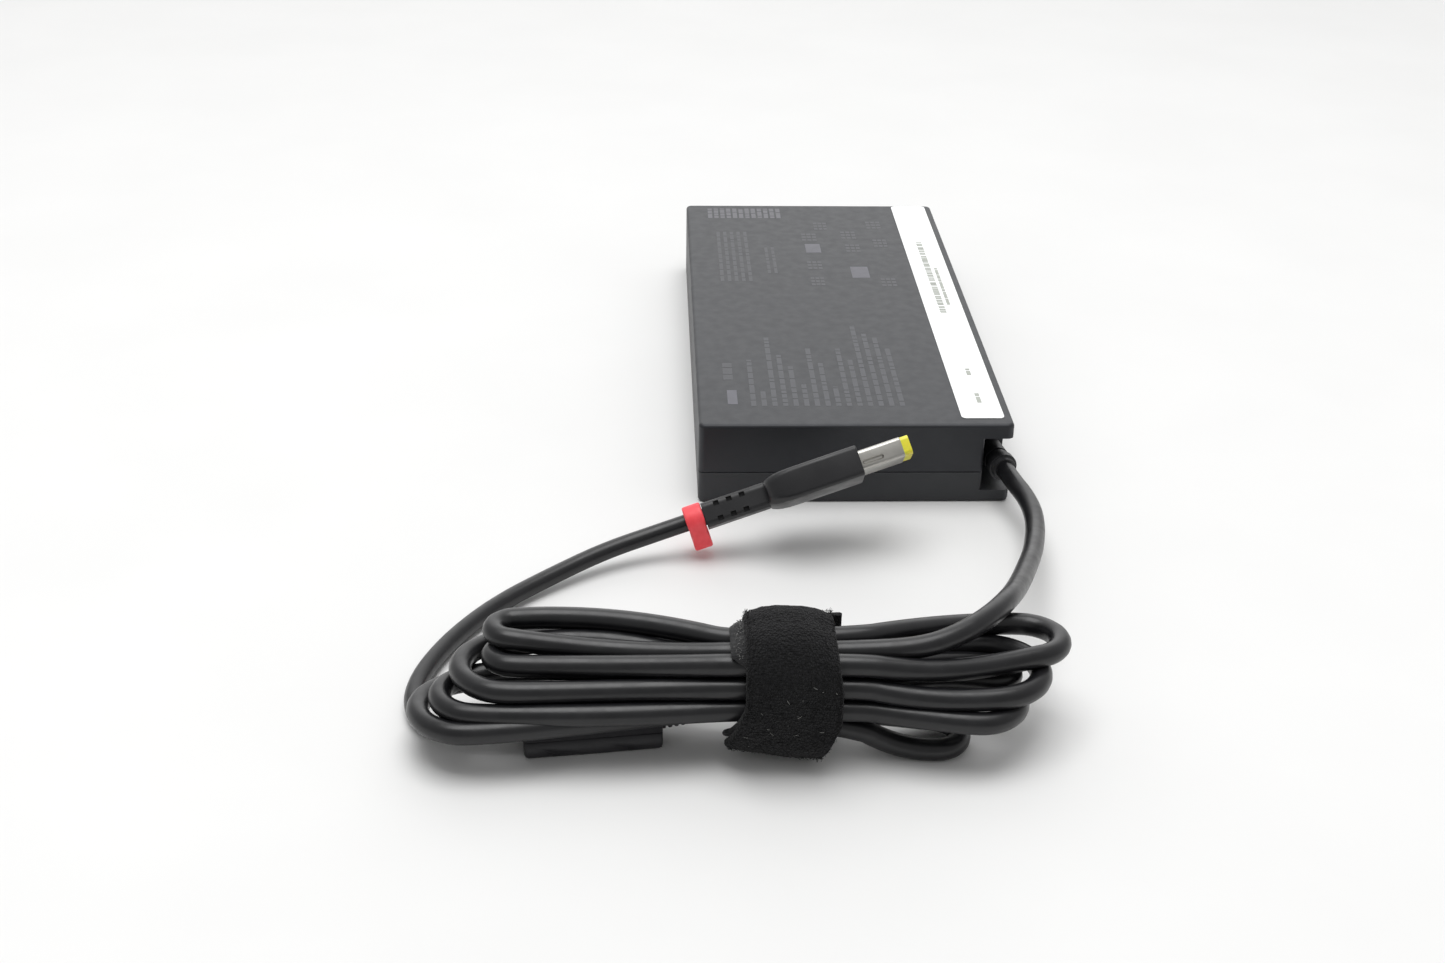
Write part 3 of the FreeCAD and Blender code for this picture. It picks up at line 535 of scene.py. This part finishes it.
def sintered(name, colour, roughness=0.7):
    """Ferrite or dipped ceramic: speckled, with small pits."""
    made = Finish(name, roughness)
    made.colour(made.mixed(made.levels(made.noise(0.8, 5), 0, 1), shade(colour, 0.7), shade(colour, 1.3)))
    return made.bump(made.cells(0.6), 0.05, 0.6).material


def rolled(name, colour, roughness):
    """Rolled sheet metal with a faint grain along the case."""
    made = Finish(name, roughness, 1.0)
    grain = made.noise(0.5, 4, (1, 0.05, 1))
    made.colour(made.mixed(made.levels(grain, 0, 1), shade(colour, 0.85), colour))
    made.gloss(grain, roughness * 0.8, roughness * 1.3)
    return made.bump(grain, 0.02, 0.5).material


def film_skin():
    made = Finish("film_plastic", 0.25, Transmission_Weight=0.6, IOR=1.58)
    made.colour(made.mixed(made.levels(made.noise(10, 3), 0, 1), (0.86, 0.84, 0.76), (0.93, 0.92, 0.86)))
    return made.bump(made.noise(6, 2), 0.05, 0.5).material


FINISHES = {
    "case_plastic": case_skin(),
    "sticker_paper": sticker_skin(),
    "inlet_plastic": moulded("inlet_plastic", (0.012, 0.012, 0.013), 0.32, 0.6, 0.01),
    "pin_metal": plated("pin_metal", (0.72, 0.71, 0.69), 0.22, (1, 0.1, 1)),
    "board_laminate": board_skin(),
    "component_plastic": moulded("component_plastic", (0.02, 0.02, 0.021), 0.5),
    "capacitor_box": moulded("capacitor_box", (0.7, 0.5, 0.06), 0.35),
    "thermal_rubber": moulded("thermal_rubber", (0.42, 0.48, 0.6), 0.75, 0.6, 0.05),
    "ferrite": sintered("ferrite", (0.03, 0.03, 0.032)),
    "copper_wire": wound("copper_wire", (0.62, 0.25, 0.1), 0.8, 0.28, 1.0),
    "capacitor_sleeve": moulded("capacitor_sleeve", (0.012, 0.014, 0.04), 0.28, 0.8, 0.02),
    "winding_tape": wound("winding_tape", (0.75, 0.52, 0.06), 3.0, 0.3, 0.0),
    "heatsink_metal": rolled("heatsink_metal", (0.72, 0.72, 0.74), 0.35),
    "disc_ceramic": sintered("disc_ceramic", (0.05, 0.14, 0.42), 0.4),
    "spreader_metal": rolled("spreader_metal", (0.78, 0.78, 0.79), 0.28),
    "film_plastic": film_skin(),
    "relief_rubber": moulded("relief_rubber", (0.012, 0.012, 0.0135), 0.45, 0.4, 0.03),
    "lead_insulation": moulded("lead_insulation", (0.4, 0.02, 0.015), 0.4),
    "cord_rubber": cord_skin(),
    "bead_plastic": moulded("bead_plastic", (0.019, 0.019, 0.0215), 0.5, 0.3, 0.025),
    "hook_fabric": hook_skin(),
    "pile_fabric": pile_skin(),
    "plug_plastic": moulded("plug_plastic", (0.0105, 0.0105, 0.012), 0.4, 0.3, 0.03),
    "plug_metal": plated("plug_metal", (0.46, 0.45, 0.42), 0.36, (0.3, 1, 1)),
    "tip_plastic": moulded("tip_plastic", (0.86, 0.78, 0.05), 0.35, 0.5, 0.01, Subsurface_Weight=0.1,
                           Subsurface_Scale=0.001),
    "band_rubber": band_skin(),
}


def dress_cad_nodes():
    """Gives every CAD node the finish of its slot."""
    for part in frame["record"]["subparts"]:
        data = frame["nodes"][part["node"]].data
        data.materials.clear()
        data.materials.append(FINISHES[part["material_slot"]])


dress_cad_nodes()
for cord in (cord_a, cord_b):
    cord.data.materials.append(FINISHES["cord_rubber"])

# ---- print on the case and on the sticker ----------------------------------------------------

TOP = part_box("top_shell")[1].z / MM
STICKER_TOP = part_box("white_sticker")[1].z / MM
INK_RISE = 0.02


def plates(name, level, rectangles, material):
    """Thin raised ink plates on a level face: each is (middle x, middle y, width, length)."""
    vertices, faces = [], []
    for x, y, width, length in rectangles:
        first = len(vertices)
        for z in (level, level + INK_RISE):
            vertices += [(x + width / 2 * i, y + length / 2 * j, z)
                         for i, j in ((-1, -1), (1, -1), (1, 1), (-1, 1))]
        sides = [(n, (n + 1) % 4, (n + 1) % 4 + 4, n + 4) for n in range(4)]
        faces += [tuple(first + n for n in face) for face in [(3, 2, 1, 0), (4, 5, 6, 7), *sides]]
    return settle(add_mesh(name, vertices, faces), "root", None, material)


WORD_LENGTHS, WORD_GAP = (1.4, 5.0), 0.4


def word_row(x, front, back, height, draws):
    """Dashes of uneven length in a row along the brick, like words too small to read."""
    dashes, y = [], front
    while y < back:
        length = min(draws.uniform(*WORD_LENGTHS), back - y)
        dashes.append((x, y + length / 2, height, length))
        y += length + WORD_GAP
    return dashes


TEXT_FRONT = -66.0
ROW_START, ROW_PITCH = -24.3, 2.6
ROW_LENGTHS = (27, 9, 41, 30, 23, 13, 34, 25, 11, 34, 27, 49, 44, 41, 34)
# Groups of small marks further up the case: the middle and the width of each.
ICON_GROUPS = ((2.1, 57.9, 4.2), (-2.0, 48.6, 4.6), (-2.0, 26.2, 4.4), (-2.1, 14.0, 4.0), (9.9, 50.4, 4.6),
               (10.3, 39.7, 4.4), (18.3, 58.9, 4.6), (18.8, 43.8, 4.2), (17.9, 13.4, 4.4))


def case_print():
    """Generic faint printing: rows of dashes near the cord end, groups of marks further up."""
    draws = random.Random(11)
    rows = []
    for n, length in enumerate(ROW_LENGTHS):
        rows += word_row(ROW_START + n * ROW_PITCH, TEXT_FRONT, TEXT_FRONT + length, 1.25, draws)
    plates("print_rows", TOP, rows, ink_skin("print_grey", (0.050, 0.052, 0.061)))
    heading = [mark for n in range(12) for mark in word_row(-30.9 + 1.9 * n, 64.8, 73.2, 1.3, draws)]
    plates("print_heading", TOP, heading, ink_skin("print_pale", (0.10, 0.10, 0.115)))
    faint = []
    for x, y, width in ICON_GROUPS:
        faint += [(x + width * share, y + drop, width * 0.26, 1.7) for share in (-0.34, 0, 0.34)
                  for drop in (-2.2, 0.1, 2.3)]
    for n in range(5):
        faint += word_row(-29.0 + 2.0 * n, 14, 53, 1.0, draws)
    for n in range(2):
        faint += word_row(-15.4 + 1.9 * n, 20, 41, 0.9, draws)
    faint += word_row(-30.0, -51, -41, 2.4, draws)
    plates("print_icons", TOP, faint, ink_skin("print_faint", (0.043, 0.044, 0.052)))
    solid = [(-1.5, 39.6, 4.4, 7.0), (10.5, 20.9, 5.0, 8.4), (-29.4, -61.0, 2.4, 8.0)]
    plates("print_patches", TOP, solid, ink_skin("print_patch", (0.095, 0.095, 0.115)))


def sticker_print():
    """A strip of plain bars, a fine row beside it and two short marks."""
    draws = random.Random(5)
    marks, y = [], -8.0
    while y < 45.0:
        length = draws.uniform(0.5, 1.5)
        marks.append((30.3, y, 1.7, length))
        y += length + draws.uniform(0.2, 0.5)
    marks += word_row(32.5, -3.0, 24.0, 0.9, draws) + word_row(31.1, -48.6, -44.6, 1.1, draws)
    marks += word_row(31.2, -64.5, -59.1, 1.1, draws)
    plates("sticker_marks", STICKER_TOP, marks, ink_skin("sticker_ink", (0.38, 0.40, 0.36)))


case_print()
sticker_print()

# ---- connector -------------------------------------------------------------------------------

PLUG_ROLL = math.radians(38.2)
plug_at = axis_frame(PLUG_START, PLUG_DIRECTION, PLUG_ROLL)
GRIP_START, GRIP_END = 15.0, 37.5
SHELL_END = 47.6
SHELL_WIDTH, SHELL_HEIGHT = 11, 4.7


def plug_grip():
    """The moulded grip: soft rear shoulders, a straight body and a crisp front with a shallow well."""
    stations = [
        (GRIP_START, 9.4, 5.2, 1.6), (GRIP_START + 0.5, 11.2, 5.9, 1.9), (GRIP_START + 1.4, 12.6, 6.5, 1.9),
        (GRIP_START + 2.7, 13.6, 6.95, 1.7), (GRIP_START + 4.4, 14.3, 7.2, 1.4),
        (GRIP_START + 6.5, 14.5, 7.25, 1.2), (GRIP_START + 13, 14.5, 7.25, 1.1),
        (GRIP_END - 0.45, 14.5, 7.25, 1.1), (GRIP_END - 0.1, 14.25, 7.0, 1.05), (GRIP_END, 13.8, 6.6, 0.9),
    ]
    well = loft("grip_well", plug_at, [(GRIP_END - 0.5, 11.4, 5.1, 1.2), (GRIP_END + 1, 11.4, 5.1, 1.2)])
    grip = carve(loft("grip_body", plug_at, stations), well)
    return settle(grip, "root", "plug_plastic", FINISHES["plug_plastic"], "plug_grip")


def plug_shell():
    """The plated shell: a folded tube with a pill-shaped groove pressed into each narrow side."""
    stations = [(GRIP_END - 1.5, SHELL_WIDTH, SHELL_HEIGHT, 0.9),
                (SHELL_END - 0.2, SHELL_WIDTH, SHELL_HEIGHT, 0.9), (SHELL_END, 10.8, 4.5, 0.8)]
    shell = loft("shell_tube", plug_at, stations)
    cutters = [loft("shell_bore", plug_at, [(SHELL_END - 6, 10, 3.7, 0.6), (SHELL_END + 1, 10, 3.7, 0.6)])]
    for side in (-SHELL_WIDTH / 2, SHELL_WIDTH / 2):
        outward = math.copysign(1, side)
        rings = [[plug_at(GRIP_END + 2.9 + along, side + outward * depth, 0.7 + down)
                  for along, down in rounded_outline(length, height, height / 2 - 0.01)]
                 for depth, length, height in ((-0.42, 4.4, 0.4), (0.15, 5.3, 1.4))]
        cutters.append(add_mesh(f"shell_groove_{side}", *skin(rings)))
    piece = carve(shell, *cutters)
    piece.data.shade_smooth()
    piece.data.set_sharp_from_angle(angle=math.radians(30))
    return settle(piece, "root", "plug_metal", FINISHES["plug_metal"], "plug_shell")


plug_grip_piece = plug_grip()
plug_shell_piece = plug_shell()

# ---- marker band -----------------------------------------------------------------------------


def oblong_path(share, radius, drop):
    """A place round two half-circles joined by straight sides, as (across, down), and the way out there."""
    half = math.pi * radius
    travel = share * 2 * (drop + half)
    if travel < half:
        angle = math.pi + travel / radius
        return (radius * math.cos(angle), radius * math.sin(angle)), (math.cos(angle), math.sin(angle))
    travel -= half
    if travel < drop:
        return (radius, travel), (1, 0)
    travel -= drop
    if travel < half:
        angle = travel / radius
        return (radius * math.cos(angle), drop + radius * math.sin(angle)), (math.cos(angle), math.sin(angle))
    return (-radius, drop - (travel - half)), (-1, 0)


BAND_WIDTH, BAND_THICKNESS, BAND_GAP, BAND_DROP = 4.4, 1.4, 0.3, 3.8
BAND_STEPS = 72


def marker_band():
    """A soft flat loop on the cord, slightly waisted below the cord."""
    inner = BRANCH_DIAMETER / 2 + BAND_GAP
    start = PLUG_START - PLUG_DIRECTION * (0.1 + BAND_WIDTH / 2)
    place_at = axis_frame(start, PLUG_DIRECTION)

    def outline_at(share, across, outwards):
        (side, down), (out_side, out_down) = oblong_path(share, inner + BAND_THICKNESS / 2, BAND_DROP)
        waist = 1 - 0.16 * math.exp(-((down - BAND_DROP * 0.55) / 1.6) ** 2)
        swell = outwards * (1 + 0.08 * noise.noise(Vector((side, down, 3)) * 0.5))
        return place_at(across * waist, side + out_side * swell, down + out_down * swell)

    profile = rounded_outline(BAND_WIDTH - 0.1, BAND_THICKNESS - 0.1, 0.5)
    rings = [[outline_at(n / BAND_STEPS, across, outwards) for across, outwards in profile]
             for n in range(BAND_STEPS)]
    band = add_mesh("band_loop", *skin(rings, looped=True), sharp=math.radians(50))
    return settle(band, "band", "band_rubber", FINISHES["band_rubber"], "marker_band")


band_piece = marker_band()

# ---- ferrite bead ----------------------------------------------------------------------------

BEAD_LENGTH, BEAD_WIDTH, BEAD_HEIGHT = 27.0, 12.0, 10.0
bead_at = axis_frame(BEAD_MIDDLE, BEAD_DIRECTION)


def bead_cover():
    """The bead's moulded cover: drafted halves with a parting line, soft edges and two latch notches."""
    half = BEAD_LENGTH / 2
    ends = ((0, 1.2, 0.9), (0.25, 0.4, 1.1), (0.8, 0.1, 1.1))
    rising = [(inset - half, BEAD_WIDTH - less, BEAD_HEIGHT - less, radius) for inset, less, radius in ends]
    falling = [(-along, *rest) for along, *rest in reversed(rising)]
    cover = loft("bead_cover", bead_at, [*rising, (0, BEAD_WIDTH, BEAD_HEIGHT, 1.1), *falling])
    cutters = [loft(f"bead_notch_{place}", bead_at,
                    [(place - 0.7, 1.4, 0.9, 0.1), (place + 0.7, 1.4, 0.9, 0.1)]) for place in (-7.3, 7.3)]
    for cutter in cutters:
        cutter.data.transform(Matrix.Translation((bead_at(0, BEAD_WIDTH / 2, 4.3) - BEAD_MIDDLE) * MM))
    seam = loft("bead_seam", bead_at, [(-half - 1, 14, 0.22, 0.05), (half + 1, 14, 0.22, 0.05)])
    room = loft("bead_seam_room", bead_at, [(-half + 0.35, 11.3, 9, 0.5), (half - 0.35, 11.3, 9, 0.5)])
    seam.data.transform(Matrix.Translation((0, 0, -0.9 * MM)))
    carve(seam, room)
    piece = carve(cover, seam, *cutters)
    return settle(piece, "root", "bead_plastic", FINISHES["bead_plastic"], "bead_housing")


RELIEF_RIBS = 4


def ribbed_relief(name, start, direction, length):
    """A short ribbed sleeve that narrows towards the cord."""
    profile = [(-0.6, 3.0), (0.3, 3.35), (0.9, 3.35)]
    for n in range(RELIEF_RIBS):
        along, radius = 1.0 + n * (length - 1.4) / RELIEF_RIBS, 3.25 - 0.14 * n
        profile += [(along, radius - 0.45), (along + 0.45, radius - 0.45), (along + 0.6, radius - 0.06),
                    (along + 0.8, radius), (along + 1.1, radius), (along + 1.25, radius - 0.08)]
    profile += [(length - 0.1, 2.62), (length, 2.5)]
    sleeve = turned(name, axis_frame(start, direction), profile)
    return settle(sleeve, "root", "relief_rubber", FINISHES["relief_rubber"])


bead_pieces = [bead_cover()]
for side_name, sign in (("left", -1), ("right", 1)):
    sleeve_start = BEAD_MIDDLE + BEAD_DIRECTION * sign * BEAD_LENGTH / 2
    bead_pieces.append(ribbed_relief(f"bead_sleeve_{side_name}", sleeve_start, BEAD_DIRECTION * sign,
                                     BEAD_HALF - BEAD_LENGTH / 2))

# ---- strap -----------------------------------------------------------------------------------

# The waist that the strap is pulled round, as (along Y, up) corners with a radius at each: at the
# strap's left edge and at its right edge, where the cords lie lower.
WAIST_LEFT = (((-182.6, 24.6), 6.0), ((-167.0, 24.6), 6.0), ((-167.0, 4.1), 5.0), ((-182.6, 4.6), 9.6))
WAIST_RIGHT = (((-182.6, 24.6), 6.0), ((-167.0, 24.6), 6.0), ((-167.0, 4.1), 5.0), ((-182.6, 4.1), 5.0))
WAIST_MIDDLE_Y, WAIST_MIDDLE_Z = -175, 14
LOOP_STEPS = 260
BEND_STEPS = 12


def rounded_loop(corners):
    """Evenly spaced places round a four-cornered loop with round corners, each with its way out."""
    spans = []
    for (y, z), radius in corners:
        out_y, out_z = (1 if y > WAIST_MIDDLE_Y else -1), (1 if z > WAIST_MIDDLE_Z else -1)
        centre = (y - out_y * radius, z - out_z * radius)
        first = {(-1, 1): 180, (1, 1): 90, (1, -1): 0, (-1, -1): -90}[out_y, out_z]
        spans.append((centre, radius, math.radians(first)))
    trail = []
    for centre, radius, first in spans:
        for n in range(BEND_STEPS + 1):
            angle = first - math.pi / 2 * n / BEND_STEPS
            out = (math.cos(angle), math.sin(angle))
            trail.append(((centre[0] + radius * out[0], centre[1] + radius * out[1]), out))
    lengths = [math.dist(here[0], there[0]) for here, there in zip(trail, trail[1:] + trail[:1])]
    total, places, travelled, n = sum(lengths), [], 0.0, 0
    for step in range(LOOP_STEPS):
        wanted = total * step / LOOP_STEPS
        while travelled + lengths[n] < wanted:
            travelled += lengths[n]
            n += 1
        share = (wanted - travelled) / lengths[n] if lengths[n] else 0
        (here, out), (there, next_out) = trail[n], trail[(n + 1) % len(trail)]
        mix = [a + (b - a) * share for a, b in zip((*here, *out), (*there, *next_out))]
        size = math.hypot(mix[2], mix[3])
        places.append(((mix[0], mix[1]), (mix[2] / size, mix[3] / size)))
    return places


LEFT_LOOP, RIGHT_LOOP = rounded_loop(WAIST_LEFT), rounded_loop(WAIST_RIGHT)
EDGE_STEPS, EDGE_BULGE = 5, 0.03
CROWN = 0.25


def strap_place(step, across, rise):
    """A place on the strap: a step round the loop, across from 0 to 1, and a rise off the waist."""
    (left, left_out), (right, right_out) = LEFT_LOOP[step], RIGHT_LOOP[step]
    share = min(1.0, max(0.0, across))
    y, z, out_y, out_z = (a + (b - a) * share for a, b in zip((*left, *left_out), (*right, *right_out)))
    size = math.hypot(out_y, out_z)
    return y + out_y / size * rise, z + out_z / size * rise


def tape_section(thickness, columns=26):
    """A tape's section as (across from 0 to 1, rise): over the outside, round an edge, back and round."""
    angles = [math.pi * n / EDGE_STEPS for n in range(1, EDGE_STEPS)]
    edge = [(math.sin(angle), (1 + math.cos(angle)) / 2) for angle in angles]
    section = [(n / columns, thickness) for n in range(columns + 1)]
    section += [(1 + EDGE_BULGE * out, thickness * up) for out, up in edge]
    section += [(1 - n / columns, 0.0) for n in range(columns + 1)]
    section += [(-EDGE_BULGE * out, thickness * (1 - up)) for out, up in edge]
    return section


def tape(name, rise, thickness, left_at, right_at, fuzz):
    """A tape round the waist, between two edges that wander, with an uneven outer face.

    It is crowned all round, and more over the top, where it slopes off to its right edge.
    """
    rings = []
    for step in range(LOOP_STEPS):
        ring = []
        for across, up in tape_section(thickness):
            y, z = strap_place(step, across, 0)
            left, right = left_at(y, z), right_at(y, z)
            x = left + (right - left) * across
            ripple = noise.noise(Vector((x * 0.16, y * 0.16, z * 0.16))) * 0.30
            ripple += noise.noise(Vector((x * 0.9, y * 1.1, z * 1.1))) * fuzz
            swell = CROWN + 1.35 * ramp(z, 19, 24) ** 1.5
            crown = swell * (1 - abs(2 * across - 1) ** 3 - 0.35 * across ** 4)
            lift = rise + up * (1 + (ripple + crown - CROWN - 0.3 * (swell - CROWN)) / thickness)
            ring.append((x, *strap_place(step, across, lift)))
        rings.append(ring)
    return add_mesh(name, *skin(rings, looped=True), sharp=math.radians(80))


PILE_EDGES = (-31.4, -14.0)
HOOK_RIGHT_EDGE = -15.9


def front_share(y):
    """1 on the strap's front face and 0 at its back."""
    return ramp(y, -172.0, -180.0)


def pile_left(y, z):
    """The pile tape's left edge: straight above, flared to the left low on the front."""
    return PILE_EDGES[0] - 3.7 * front_share(y) * ramp(z, 17.0, 8.0) ** 1.5


def pile_right(y, z):
    """The pile tape's right edge: drawn in low on the front and a little over the top."""
    return PILE_EDGES[1] - front_share(y) * (ramp(z, 12.0, 4.0) ** 1.3 * 4.2) - ramp(z, 19, 25) * 1.1


def hook_left(y, z):
    """The hook tape's left edge: bare at the top and low on the front, under the pile between them."""
    top = ramp(z, 22.2, 23.8)
    low = front_share(y) * ramp(z, 8.5, 5.5)
    return pile_left(y, z) + 0.5 - 3.2 * top - 2.4 * low


def hook_right(y, z):
    """The hook tape's right edge, which stays under the pile."""
    return HOOK_RIGHT_EDGE + 0.2 * math.sin(z * 0.5) - 0.9 * ramp(z, 20, 24)


HOOK_RISE, HOOK_THICKNESS, PILE_RISE, PILE_THICKNESS = 0.02, 1.5, 1.85, 1.9
hook_tape = tape("strap_hook", HOOK_RISE, HOOK_THICKNESS, hook_left, hook_right, 0.05)
settle(hook_tape, "root", "hook_fabric", FINISHES["hook_fabric"], "strap_hook_tape")
pile_tape = tape("strap_pile", PILE_RISE, PILE_THICKNESS, pile_left, pile_right, 0.16)
settle(pile_tape, "root", "pile_fabric", FINISHES["pile_fabric"], "strap_pile_tape")


END_ROWS = 40


def strap_end():
    """The strap's free end, which lies down the back: soft, and round at its tip."""
    low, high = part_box("strap_tab")
    left, right, bottom, top = low.x / MM, high.x / MM, low.z / MM + 0.4, high.z / MM - 0.4
    face, thickness = low.y / MM, (high.y - low.y) / MM
    rings = []
    for row in range(END_ROWS + 1):
        share = row / END_ROWS
        z = top + (bottom - top) * share
        tip = max(0.0, (share - 0.82) / 0.18)
        inset = 0.4 + 2.4 * (1 - math.sqrt(max(0.0, 1 - tip ** 2)))
        thin = thickness * (0.88 - 0.35 * tip ** 3 - 0.35 * max(0.0, 1 - share / 0.06) ** 2)
        ring = []
        for across, up in tape_section(thin, 20):
            x = left + inset + (right - left - 2 * inset) * across
            ripple = noise.noise(Vector((x * 0.9, 4.0, z * 1.1))) * 0.12 * (up > 0)
            ring.append((x, face + 0.1 + up + ripple, z))
        rings.append(ring)
    return settle(add_mesh("strap_end", *skin(rings), sharp=math.radians(80)), "tab", "pile_fabric",
                  FINISHES["pile_fabric"], "strap_tab")


strap_end_piece = strap_end()


def fibres(name, strands, radius, material, slot):
    """Many fine fibres in one piece, each a short line of places."""
    data = bpy.data.curves.new(name, "CURVE")
    data.dimensions, data.bevel_depth, data.bevel_resolution = "3D", radius, 0
    data.resolution_u, data.use_fill_caps = 2, True
    for strand in strands:
        spline = data.splines.new("POLY")
        spline.points.add(len(strand) - 1)
        for point, place in zip(spline.points, strand):
            point.co, point.radius = (*mm(*place), 1), MM
    piece = bpy.data.objects.new(name, data)
    bpy.context.scene.collection.objects.link(piece)
    return settle(piece, "root", slot, material)


def bent_fibre(root, out, length, draws, bend=1.2):
    """A fibre that rises along out and bows over sideways."""
    lean = Vector((draws.gauss(0, 1), draws.gauss(0, 1), draws.gauss(0, 1)))
    lean = (lean - out * lean.dot(out)).normalized()
    points = []
    for n in range(5):
        t = n / 4
        points.append(root + out * length * (t - 0.45 * t * t) + lean * length * bend * t * t * 0.6)
    return points


def pile_root(draws, across=None):
    """A place on the pile's outer face and the way out from there."""
    step = draws.randrange(LOOP_STEPS)
    across = draws.random() if across is None else across
    y, z = strap_place(step, across, PILE_RISE + PILE_THICKNESS - CROWN)
    base_y, base_z = strap_place(step, across, 0)
    left, right = pile_left(base_y, base_z), pile_right(base_y, base_z)
    out = Vector((0, y - base_y, z - base_z)).normalized()
    return Vector((left + (right - left) * across, y, z)), out


FACE_LOOPS, EDGE_LOOPS, LINT_THREADS = 2600, 500, 26


def strap_fuzz():
    """Loose loops of pile all over, more along both edges, and a few pale threads of lint."""
    draws = random.Random(3)
    loops = []
    for _ in range(FACE_LOOPS):
        root, out = pile_root(draws)
        loops.append(bent_fibre(root, out, draws.uniform(0.35, 0.85), draws))
    for _ in range(EDGE_LOOPS):
        side = draws.choice((0.0, 1.0))
        root, out = pile_root(draws, across=side + (0.5 - side) * draws.uniform(0, 0.05))
        outward = Vector((1 if side else -1, 0, 0)) * draws.uniform(0.3, 1.2)
        loops.append(bent_fibre(root, (out * 0.7 + outward).normalized(), draws.uniform(0.4, 0.9), draws))
    fibres("strap_loops", loops, 0.035, FINISHES["pile_fabric"], "pile_fabric")
    lint = []
    for _ in range(LINT_THREADS):
        root, out = pile_root(draws)
        lint.append(bent_fibre(root + out * 0.1, out, draws.uniform(0.25, 0.7), draws, 2.2))
    fibres("strap_lint", lint, 0.03, ink_skin("lint", (0.36, 0.36, 0.34)), None)


def strap_hooks():
    """Stiff little hooks on the margin of the hook tape that the pile leaves bare."""
    draws = random.Random(9)
    hooks = []
    for step in range(0, LOOP_STEPS, 2):
        for _ in range(2):
            y, z = strap_place(step, 0, 0)
            x = hook_left(y, z) + draws.uniform(0.2, 2.4)
            if x > pile_left(y, z) - 0.3:
                continue
            foot_y, foot_z = strap_place(step, 0, HOOK_THICKNESS)
            out = Vector((0, foot_y - y, foot_z - z)).normalized()
            hooks.append(bent_fibre(Vector((x, foot_y, foot_z)), out, draws.uniform(0.7, 1.15), draws, 0.9))
    nylon = Finish("hook_nylon", 0.25, Transmission_Weight=0.3, IOR=1.53)
    nylon.colour(nylon.mixed(nylon.noise(1.5), (0.05, 0.05, 0.05), (0.3, 0.3, 0.29)))
    fibres("strap_hooks", hooks, 0.07, nylon.material, "hook_fabric")


strap_fuzz()
strap_hooks()

# ---- floor and lights ------------------------------------------------------------------------

FLOOR_SIZE = 30


def make_floor():
    bpy.ops.mesh.primitive_plane_add(size=FLOOR_SIZE, location=(0, 0, 0))
    floor = bpy.context.object
    floor.name = "floor"
    made = Finish("floor", 0.7, Specular_IOR_Level=0.08)
    made.colour(made.mixed(made.levels(made.noise(60, 4), 0, 1), (0.765, 0.765, 0.76), (0.78, 0.78, 0.775)))
    floor.data.materials.append(made.material)


# How bright the surroundings are from straight in front of the object, over its top, to behind it.
SKY = ((0.0, 0.42), (0.42, 0.48), (0.62, 0.60), (0.86, 0.70), (0.95, 1.40), (1.0, 1.95))
SKY_BACK = (0.05, 0.9, 0.43)
SKY_GAIN = 0.93


def make_world():
    """Soft surrounding light: brightest low behind the object, fair above it, dim from the front."""
    world = bpy.data.worlds.new("world")
    world.use_nodes = True
    tree = world.node_tree
    coordinates = tree.nodes.new("ShaderNodeTexCoord")
    axis = tree.nodes.new("ShaderNodeVectorMath")
    axis.operation = "DOT_PRODUCT"
    axis.inputs[1].default_value = SKY_BACK
    share = tree.nodes.new("ShaderNodeMapRange")
    share.inputs["From Min"].default_value = -1.0
    levels = tree.nodes.new("ShaderNodeFloatCurve")
    curve = levels.mapping.curves[0]
    top = SKY[-1][1]
    curve.points[0].location, curve.points[1].location = (0, SKY[0][1] / top), (1, 1)
    for place, level in SKY[1:-1]:
        curve.points.new(place, level / top)
    levels.mapping.update()
    gain = tree.nodes.new("ShaderNodeMath")
    gain.operation, gain.inputs[1].default_value = "MULTIPLY", top * SKY_GAIN
    tree.links.new(coordinates.outputs["Generated"], axis.inputs[0])
    tree.links.new(axis.outputs["Value"], share.inputs["Value"])
    tree.links.new(share.outputs["Result"], levels.inputs["Value"])
    tree.links.new(levels.outputs["Value"], gain.inputs[0])
    tree.links.new(gain.outputs[0], tree.nodes["Background"].inputs["Strength"])
    tree.nodes["Background"].inputs["Color"].default_value = (1, 1, 1, 1)
    bpy.context.scene.world = world


def area_light(name, place, target, size, power):
    data = bpy.data.lights.new(name, "AREA")
    data.shape, data.size, data.energy = "SQUARE", size, power
    lamp = bpy.data.objects.new(name, data)
    aim = (Vector(target) - Vector(place)).to_track_quat("-Z", "Y").to_matrix().to_4x4()
    lamp.matrix_world = Matrix.Translation(place) @ aim
    bpy.context.scene.collection.objects.link(lamp)


make_floor()
make_world()
area_light("overhead", (-0.1, -0.05, 1.3), (0, -0.1, 0), 1.0, 13)
bpy.context.scene.view_settings.view_transform = "Standard"

# ---- groups of pieces ------------------------------------------------------------------------

plug_pieces = [plug_grip_piece, plug_shell_piece, band_piece]
plug_pieces += [frame["nodes"][n] for n in ("plug_strain_relief", "plug_tip", "plug_centre_pin")]
tied_pieces = [*bead_pieces, hook_tape, pile_tape, strap_end_piece]
tied_pieces += [frame["nodes"][n] for n in ("bead_core", "case_strain_relief")]
